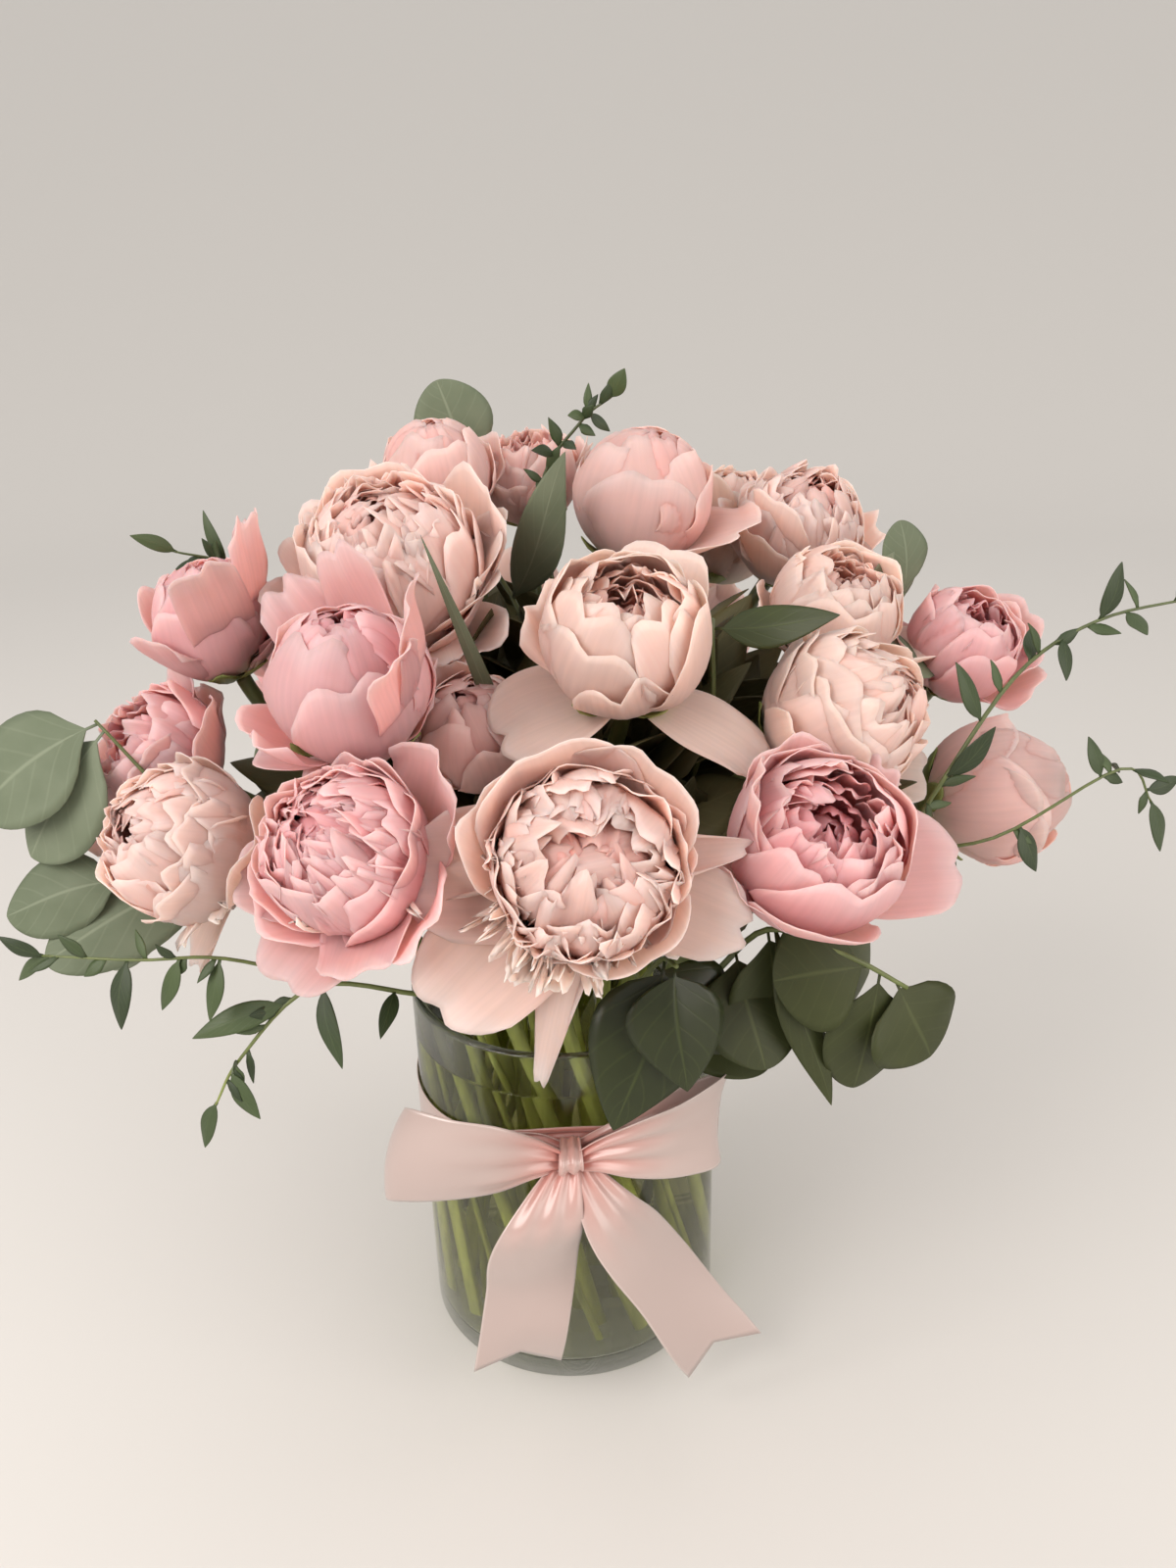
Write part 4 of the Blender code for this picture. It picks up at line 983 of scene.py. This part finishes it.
rng = random.Random(FOLIAGE_SEED)
filling = Sheets()
kept = 0
for _ in range(FOLIAGE_TRIES):
    turn, rise = rng.uniform(0, math.tau), math.radians(rng.uniform(8, 78))
    way = np.array((math.sin(turn) * math.cos(rise), math.cos(turn) * math.cos(rise),
                    math.sin(rise)))
    joint = DOME_CENTRE + way * DOME * rng.uniform(0.4, 0.62)
    aside = np.array([rng.gauss(0, 0.24) for _ in range(3)])
    tip = DOME_CENTRE + (way + aside) * DOME * rng.uniform(0.72, 0.9)
    line = [joint + (tip - joint) * share for share in (0.4, 0.6, 0.8, 1.0)]
    hangs_low = tip[1] < 0.04 and tip[2] < 0.25
    short = np.linalg.norm(tip - joint) < 0.08
    if short and not hangs_low and tip[2] < 0.36 and clear_of_blooms(line):
        face = np.array([rng.uniform(-1, 1), rng.uniform(-1, 1), 1.2])
        filling.add(leaf(joint, tip, rng.uniform(30, 46), "ovate", rng, face=face, rows=8,
                         cols=6), rng.random())
        kept += 1
    if kept == FOLIAGE_LEAVES:
        break
foliage = filling.make("peony_foliage", FOLIAGE, LEAF_THICKNESS)
place_piece(foliage, "salal_leaf")
print(kept, "leaves between the blooms")

# %% [markdown]
# ## Vase
# The vase is blown or pressed clear glass: a plain cylinder with a thick foot, so it is
# modelled as a cylinder whose top is inset by the wall's thickness and pushed down to the
# inner floor, with its edges bevelled as fire-polishing rounds them. Clear glass bends light,
# which is what shows its wall. Lamps' light is let straight through it, so that the stems
# inside it are lit.

# %% Vase
VASE_RADIUS = 70 * MM
VASE_HEIGHT = 178 * MM
VASE_WALL = 4 * MM
VASE_FLOOR = 9 * MM
WATER_LEVEL = 156 * MM
# How far the water reaches into the glass.
INTO_GLASS = 0.3 * MM


def glass_finish(name, tint, ior, thick_colour, density, see_through):
    """A clear, smooth material that bends light, lets lamps' light straight through, and takes
    a deeper colour the thicker it is. see_through is the share of all light that it does not
    bend, which keeps its rim pale."""
    material, tree, shader, output = new_material(name)
    set_inputs(tree, shader, {"Base Color": linear(tint), "Roughness": 0.0, "IOR": ior,
                              "Transmission Weight": 1.0})
    path = add_node(tree, "LightPath")
    clear = add_node(tree, "BsdfTransparent", {"Color": linear(tint)})
    straight = add_node(tree, "Math", {0: path.outputs["Is Shadow Ray"], 1: see_through},
                        operation="MAXIMUM")
    mix = add_node(tree, "MixShader",
                   {0: straight, 1: shader, 2: clear})
    depth = add_node(tree, "VolumeAbsorption",
                     {"Color": linear(thick_colour), "Density": density})
    set_inputs(tree, output, {"Surface": mix, "Volume": depth})
    return material


def cylinder(name, radius, low, high):
    """An upright cylinder between two heights, with 128 sides."""
    deselect_all()
    bpy.ops.mesh.primitive_cylinder_add(vertices=128, radius=radius, depth=high - low,
                                        location=(0, 0, (low + high) / 2))
    obj = bpy.context.active_object
    obj.name = name
    bpy.ops.object.transform_apply(location=True, rotation=True, scale=True)
    return obj


vase = cylinder("glass_vase", VASE_RADIUS, 0, VASE_HEIGHT)
bpy.ops.object.mode_set(mode="EDIT")
bpy.ops.mesh.select_mode(type="FACE")
bpy.ops.mesh.select_all(action="DESELECT")
made = bmesh.from_edit_mesh(vase.data)
for face in made.faces:
    face.select_set(face.normal.z > 0.9)
bmesh.update_edit_mesh(vase.data)
bpy.ops.mesh.inset(thickness=VASE_WALL)
bpy.ops.mesh.extrude_region_move(TRANSFORM_OT_translate={"value": (0, 0, VASE_FLOOR - VASE_HEIGHT)})
bpy.ops.object.mode_set(mode="OBJECT")
apply_modifier(vase, "BEVEL", width=1.6 * MM, segments=4, limit_method="ANGLE",
               angle_limit=math.radians(40))
vase.data.shade_smooth()
vase.data.materials.append(glass_finish("clear blown glass", "FCFDFB", 1.5, "4E7028", 17.0, 0.12))
place_piece(vase, "vase_glass", "vase")
print("vase", len(vase.data.polygons), "faces")

# %% [markdown]
# ## Water
# The water fills the vase to a little below its rim. It is a cylinder that reaches a hair
# into the glass, so that light passes from glass to water without a film of air between
# them. Stems colour it a faint yellow-green.

# %% Water
water = cylinder("vase_water", VASE_RADIUS - VASE_WALL + INTO_GLASS, VASE_FLOOR - INTO_GLASS,
                 WATER_LEVEL)
apply_modifier(water, "BEVEL", width=0.8 * MM, segments=3, limit_method="ANGLE",
               angle_limit=math.radians(40))
water.data.shade_smooth()
water.data.materials.append(
    glass_finish("stem-tinted water", "FCFCF4", 1.33, "B0AE14", 14.0, 0.0))
place_piece(water, "vase_water", "water")
print("water to", WATER_LEVEL)

# %% [markdown]
# ## Ribbon
# The ribbon is 38 mm satin. Satin floats its warp over many threads, so its face shines
# along its length, and its back is duller. The sheet's own map runs along the ribbon, and
# the fine threads follow it. They are really 0.1 mm apart, and are drawn 95 to the 38 mm
# width, 0.4 mm apart, so that they show. Where the satin is gathered, painted shade takes it
# to a warm, deeper tone between its folds.

# %% Satin
SATIN, satin_tree, satin_shader, _ = new_material("woven satin ribbon")
satin_map = add_node(satin_tree, "UVMap", uv_map="sheet")
satin_fold_shade = add_node(satin_tree, "Attribute", attribute_name="deep").outputs["Fac"]
satin_parts = add_node(satin_tree, "SeparateXYZ", {"Vector": satin_map.outputs["UV"]})
# Painted shade: where the ribbon is gathered, its colour runs deeper and warmer along this ramp,
# for the shade between its folds.
satin_body_and_fold_shade = add_node(satin_tree, "ValToRGB", {"Fac": satin_fold_shade}, stops=(
    (0.0, "B29E98"), (0.45, "BA8F87"), (1.0, "C4796E")))
satin_mirror = add_node(satin_tree, "Math", {0: satin_parts.outputs["X"], 1: 0.5},
                        operation="SUBTRACT")
satin_edge = add_node(satin_tree, "Math", {0: satin_mirror}, operation="ABSOLUTE")
# A lighter line along each edge: the selvedge's own weave, with a painted highlight along it.
satin_selvedge_highlight = add_node(satin_tree, "MapRange", {"Value": satin_edge,
                                                   "From Min": 0.475, "From Max": 0.485,
                                                   "To Max": 0.35})
satin_colour = add_node(satin_tree, "Mix", {
    "Factor": satin_selvedge_highlight, "A": satin_body_and_fold_shade.outputs["Color"],
    "B": linear("D9CBC5")}, data_type="RGBA")
satin_drawn = add_node(satin_tree, "Mapping",
                       {"Vector": satin_map.outputs["UV"], "Scale": (95, 12, 1)})
satin_thread = add_node(satin_tree, "TexNoise",
                        {"Vector": satin_drawn.outputs["Vector"], "Scale": 1.0, "Detail": 2.0})
satin_bump = add_node(satin_tree, "Bump", {"Height": satin_thread.outputs["Fac"],
                                           "Strength": 0.15, "Distance": 0.2 * MM})
set_inputs(satin_tree, satin_shader, {
    "Base Color": satin_colour.outputs["Result"], "Normal": satin_bump,
    "Roughness": 0.3, "Coat Weight": 0.5, "Coat Roughness": 0.25, "Anisotropic": 0.5,
    "Sheen Weight": 0.15, "Specular IOR Level": 0.8})
print("satin ready")

# %% [markdown]
# A strip of ribbon is laid through sections. Each gives the middle of the ribbon, the way
# its width runs, how wide it is there, how deep its pleats are where it is gathered, and how
# deep its painted fold shade is. Between the sections the strip follows a smooth curve.


# %% Ribbon strips
RIBBON_THICKNESS = 0.45 * MM
RIBBON_WIDTH = 38


def strip(sections, pleats=3, per_span=8, cols=33, notch=0.0, billow=0.0, phase=0.0):
    """A grid and a painted fold shade for each point, from sections: (middle, way across, width,
    pleat depth, fold shade). Lengths are in mm."""
    table = [np.array([*middle, *way, width, depth, fold_shade], float)
             for middle, way, width, depth, fold_shade in sections]
    rows = np.array(smooth_route(table, per_span))
    middles = rows[:, :3] * MM
    way = rows[:, 3:6] / np.linalg.norm(rows[:, 3:6], axis=1)[:, None]
    along = np.gradient(middles, axis=0)
    along /= np.linalg.norm(along, axis=1)[:, None]
    normal = np.cross(along, way)
    u = np.linspace(-1, 1, cols)
    wave = np.sin(u * math.pi * pleats + phase)[None, :] * rows[:, 7][:, None] * MM
    bulge = np.sin(np.linspace(0, math.pi, len(rows)))[:, None]
    swell = billow * MM * bulge * (1 - u ** 2)[None, :]
    grid = middles[:, None] + way[:, None] * (rows[:, 6][:, None] * MM / 2 * u[None, :])[..., None]
    grid = grid + normal[:, None] * (wave + swell)[..., None]
    if notch:
        grid = grid - along[:, None] * (notch * MM * np.linspace(0, 1, len(rows))[:, None] ** 4
                                        * (1 - np.abs(u))[None, :])[..., None]
    # Painted shade: the shade deepens in the hollows of the pleats.
    fold_shade = np.clip(rows[:, 8][:, None] + 0.12 * np.sin(u * math.pi * pleats + 1.2)[None, :]
                   * np.minimum(rows[:, 7], 1.5)[:, None], 0, 1)
    return grid, fold_shade


def ribbon_piece(name, sections, flat, held, rests_on, node="ribbon_bow", **more):
    """A ribbon strip as a finished piece, made as a thin sheet."""
    grid, fold_shade = strip(sections, **more)
    cloth = Sheets()
    cloth.add(grid)
    cloth.deep = [fold_shade.ravel()]
    piece = cloth.make(name, SATIN, RIBBON_THICKNESS)
    place_piece(piece, "satin_ribbon", node)


UPRIGHT = (0, 0, 1)
LEFT_LOOP = (
    ((-3, -79, 138), UPRIGHT, 9, 1.2, 1.0), ((-14, -77, 138), UPRIGHT, 16, 1.0, 0.6),
    ((-34, -80, 137), (0.05, 0, 1), 27, 0.5, 0.3), ((-56, -78, 138), (0.2, 0, 1), 36, 0.2, 0.15),
    ((-70, -80, 142), (0.24, 0.05, 1), 42, 0, 0.0),
    ((-68, -88, 147), (0.26, 0.02, 1), 46, 0, 0.0),
    ((-50, -95, 149), (0.2, -0.05, 1), 42, 0.1, 0.0),
    ((-30, -95, 148), (0.1, -0.1, 1), 36, 0.5, 0.1),
    ((-15, -90, 144), (0.05, -0.1, 1), 23, 1.1, 0.55), ((-4, -87, 140), UPRIGHT, 10, 1.3, 1.0))
RIGHT_LOOP = (
    ((3, -79, 138), UPRIGHT, 9, 1.2, 0.9), ((16, -76, 140), UPRIGHT, 16, 1.0, 0.5),
    ((34, -77, 146), (-0.05, 0, 1), 26, 0.5, 0.3),
    ((50, -76, 148), (-0.05, 0.05, 1), 36, 0.2, 0.15),
    ((63, -77, 152), (0.05, 0, 1), 43, 0, 0.0), ((60, -86, 154), (0.06, 0, 1), 45, 0.0, 0.0),
    ((43, -94, 153), (0.08, -0.1, 1), 40, 0.4, 0.0),
    ((26, -93, 149), (0.1, -0.1, 1), 30, 1.2, 0.25),
    ((12, -89, 144), (0.05, -0.1, 1), 18, 1.3, 0.6), ((4, -87, 140), UPRIGHT, 10, 1.3, 0.9))
LEFT_TAIL = (
    ((-2, -84, 138), (1, 0, 0.1), 9, 1.2, 0.9), ((-7, -92, 129), (1, 0.05, 0.1), 22, 0.9, 0.45),
    ((-13, -99, 115), (1, 0.1, 0.05), 34, 0.3, 0.1),
    ((-17, -94, 97), (1, 0.15, 0.02), 38, 0, 0.0),
    ((-19, -88, 76), (1, 0.1, 0), 38, 0, 0.0), ((-23, -88, 50), (1, -0.05, 0), 38, 0, 0.0),
    ((-27, -84, 25), (1, 0.1, 0), 39, 0, 0.0))
RIGHT_TAIL = (
    ((3, -84, 138), (1, 0, 0.1), 9, 1.2, 0.8), ((8, -90, 129), (0.9, 0.3, 0.4), 16, 0.8, 0.45),
    ((16, -95, 116), (0.75, 0.5, 0.4), 26, 0.4, 0.15),
    ((26, -92, 98), (0.6, 0.7, 0.34), 34, 0.1, 0.0),
    ((38, -87, 75), (0.55, 0.75, 0.32), 37, 0, 0.0),
    ((52, -85, 48), (0.7, 0.6, 0.33), 37, 0, 0.0),
    ((66, -82, 23), (0.9, 0.3, 0.32), 38, 0, 0.0))
KNOT = (
    ((0, -79, 145), (1, 0, 0.1), 8, 0.6, 0.9), ((0, -87, 145), (1, 0, 0.1), 9, 0.7, 0.5),
    ((0, -92, 142), (1, 0, 0.15), 10, 0.7, 0.3), ((0, -92, 138), (1, 0, 0.15), 10, 0.7, 0.35),
    ((0, -88, 135), (1, 0, 0.1), 9, 0.7, 0.6), ((0, -80, 134), (1, 0, 0.1), 8, 0.6, 0.9))
AT_KNOT = ["ribbon_knot", "glass_vase"]
ribbon_piece("ribbon_left_loop", LEFT_LOOP, (0.038, 0.165), "folded", AT_KNOT, billow=4)
ribbon_piece("ribbon_right_loop", RIGHT_LOOP, (0.038, 0.148), "folded", AT_KNOT, phase=0.8,
             billow=3)
ribbon_piece("ribbon_left_tail", LEFT_TAIL, (0.038, 0.104), "hung", AT_KNOT, notch=11,
             billow=2.5)
ribbon_piece("ribbon_right_tail", RIGHT_TAIL, (0.038, 0.128), "hung", AT_KNOT, notch=11,
             billow=2.5)
ribbon_piece("ribbon_knot", KNOT, (0.012, 0.034), "gathered", ["ribbon_band_round"], pleats=2,
             cols=25)

# The band goes round the glass and is gathered, and drawn up to the knot, at the front.
BAND_STEPS = 48
band_sections = []
for i in range(BAND_STEPS + 1):
    angle = math.tau * i / BAND_STEPS - math.pi
    gather = math.exp(-((angle / math.radians(34)) ** 2))
    radius = 70.9 + 0.9 * gather
    middle = (radius * math.sin(angle), -radius * math.cos(angle), 112 + 26 * gather)
    # Painted shade: the band's tone deepens where it is gathered.
    band_sections.append((middle, UPRIGHT, RIBBON_WIDTH - 25 * gather, 0.7 * gather,
                          0.1 + 0.8 * gather))
ribbon_piece("ribbon_band_round", band_sections, (0.038, 0.447), "stretched", ["glass_vase"],
             node="ribbon_band", per_span=3, cols=25)
print("ribbon pieces ready")

# %% [markdown]
# ## Floor and light
# The bunch stands on a plain pale floor that sweeps up far behind it on every side, as in a
# studio, so that from the front there is no line where it ends. From low behind, the rim of
# the sweep shows above the bunch. Soft window-like light comes from the left, and a pale
# surround fills the shadows.

# %% Floor and light
# In metres: how far out the floor is flat, how far it sweeps, and how high it rises.
FLOOR_FLAT, FLOOR_SWEEP, FLOOR_RISE = 2.2, 3.5, 2.2

deselect_all()
bpy.ops.mesh.primitive_grid_add(x_subdivisions=60, y_subdivisions=60, size=14,
                                location=(0, 0, 0))
floor = bpy.context.active_object
floor.name = "floor"
for corner in floor.data.vertices:
    far = (math.hypot(corner.co.x, corner.co.y) - FLOOR_FLAT) / FLOOR_SWEEP
    rise = min(max(far, 0), 1)
    corner.co.z = FLOOR_RISE * rise * rise * (3 - 2 * rise)
floor.data.shade_smooth()
floor_material, floor_tree, floor_shader, _ = new_material("pale floor")
set_inputs(floor_tree, floor_shader, {"Base Color": linear("CFCCC8"), "Roughness": 0.7})
floor.data.materials.append(floor_material)

world = bpy.data.worlds.new("surround")
bpy.context.scene.world = world
world.use_nodes = True
surround = world.node_tree.nodes["Background"]
set_inputs(world.node_tree, surround, {"Color": linear("F4F1EE"), "Strength": 1.0})


def area_light(name, place, target, size, power, colour):
    """A square soft light at place that points at target."""
    data = bpy.data.lights.new(name, "AREA")
    data.size = size
    data.energy = power
    data.color = linear(colour)[:3]
    lamp = add_object(name, data)
    lamp.location = place
    lamp.rotation_euler = (Vector(target) - Vector(place)).to_track_quat("-Z", "Y").to_euler()


area_light("window", (-1.1, -0.9, 1.15), (0, 0, 0.28), 1.2, 24, "FFF9F4")
area_light("room", (1.3, -1.2, 0.9), (0, 0, 0.25), 1.6, 20, "FFF8F2")
bpy.context.scene.view_settings.view_transform = "Standard"
print("floor and lights ready")
